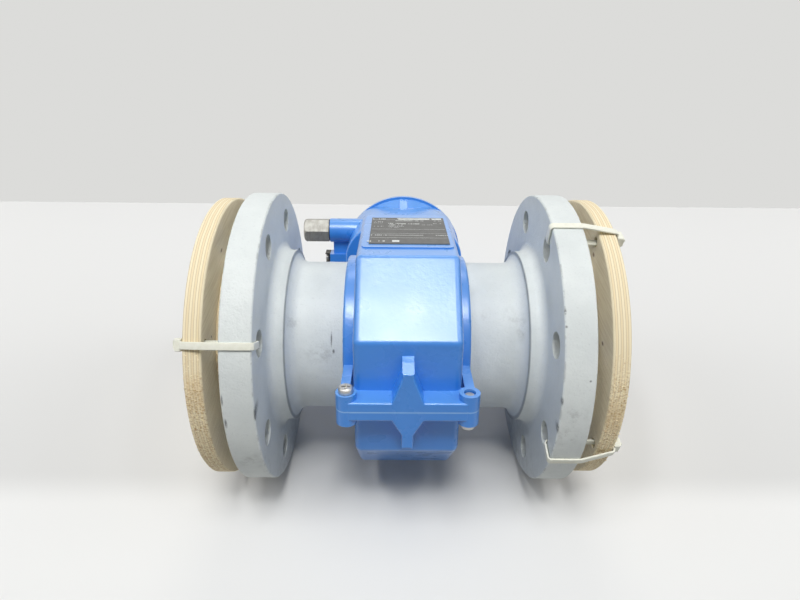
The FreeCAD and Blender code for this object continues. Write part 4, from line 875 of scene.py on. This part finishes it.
def lock_head(shape, face, top):
    """A tie's head on the outer run of its strap: a block with rounded edges, a window and the trimmed strap end."""
    low, high = top - HEAD_LENGTH, top
    section = [(0.0, low), (4.0, low + 0.7), (4.8, low + 1.8), (4.8, high - 1.8), (4.0, high - 0.4), (0.0, high)]
    rings = []
    for across, inset in HEAD_RINGS:
        ring = [shape.verts.new(((face + out_mm - (inset if out_mm > 0 else 0)) * MM,
                                 (up_mm + (inset if up_mm < (low + high) / 2 else -inset)) * MM, across * MM))
                for out_mm, up_mm in section]
        rings.append(ring)
    for first, second in zip(rings, rings[1:]):
        for index in range(len(section)):
            after = (index + 1) % len(section)
            shape.faces.new((first[index], first[after], second[after], second[index]))
    shape.faces.new(rings[0][::-1])
    shape.faces.new(rings[-1])
    window = (low + high) / 2 + 0.6
    for lift, thick, wide, reach_mm in HEAD_BLOCKS:
        block = Matrix.Translation(((face + reach_mm / 2) * MM, (window + lift) * MM, 0))
        bmesh.ops.create_cube(shape, size=1.0, matrix=block @ Matrix.Diagonal(
            (reach_mm * MM, thick * MM, wide * MM, 1)))


print("head length", HEAD_LENGTH)

# %% Three ties
# Where the loop turns, in millimetres: along the pipe from its middle, and out from the pipe's axis.
LOOP_START, LOOP_RIM, LOOP_END = 94.3, 116.0, 140.3
LOOP_LOW, LOOP_RIM_TOP = 96.35, 110.75
STRAP = {"Width": 0.0048, "Thickness": 0.0013, "Bend": 0.0022, "Pitch": 0.0012}
HEAD_DROP = 2.2
# Each tie: which flange, degrees from the lug towards the plate, and how far out it crosses the board's rim.
TIES = {"cable_tie_left": (-1, 22.5, 106.75), "cable_tie_right_upper": (1, 67.5, 105.75),
        "cable_tie_right_lower": (1, -22.5, 104.35)}
for name, (side, angle, on_board) in TIES.items():
    loop = bpy.data.curves.new(f"{name}_path", "CURVE")
    loop.dimensions = "3D"
    spline = loop.splines.new("POLY")
    corners = [(LOOP_START, LOOP_LOW), (LOOP_END, LOOP_LOW), (LOOP_END, on_board), (LOOP_RIM, LOOP_RIM_TOP),
               (LOOP_START, LOOP_RIM_TOP)]
    spline.points.add(len(corners) - 1)
    for spline_point, (along, up) in zip(spline.points, corners):
        spline_point.co = (along * MM, up * MM, 0, 1)
    spline.use_cyclic_u = True
    tie_mesh = run_tree(name, loop, tree, STRAP)
    shape = bmesh.new()
    shape.from_mesh(tie_mesh)
    lock_head(shape, LOOP_END, on_board - HEAD_DROP)
    turn = math.radians(angle)
    outward = PLATE * math.sin(turn) - NECK * math.cos(turn)
    level = PIPE * side
    shape.transform(Matrix((level, outward, level.cross(outward))).transposed().to_4x4())
    bmesh.ops.recalc_face_normals(shape, faces=shape.faces)
    shape.to_mesh(tie_mesh)
    shape.free()
    tie = add_piece(name + "_strap", tie_mesh)
    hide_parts(name)
    print(name, len(tie_mesh.polygons), "faces")
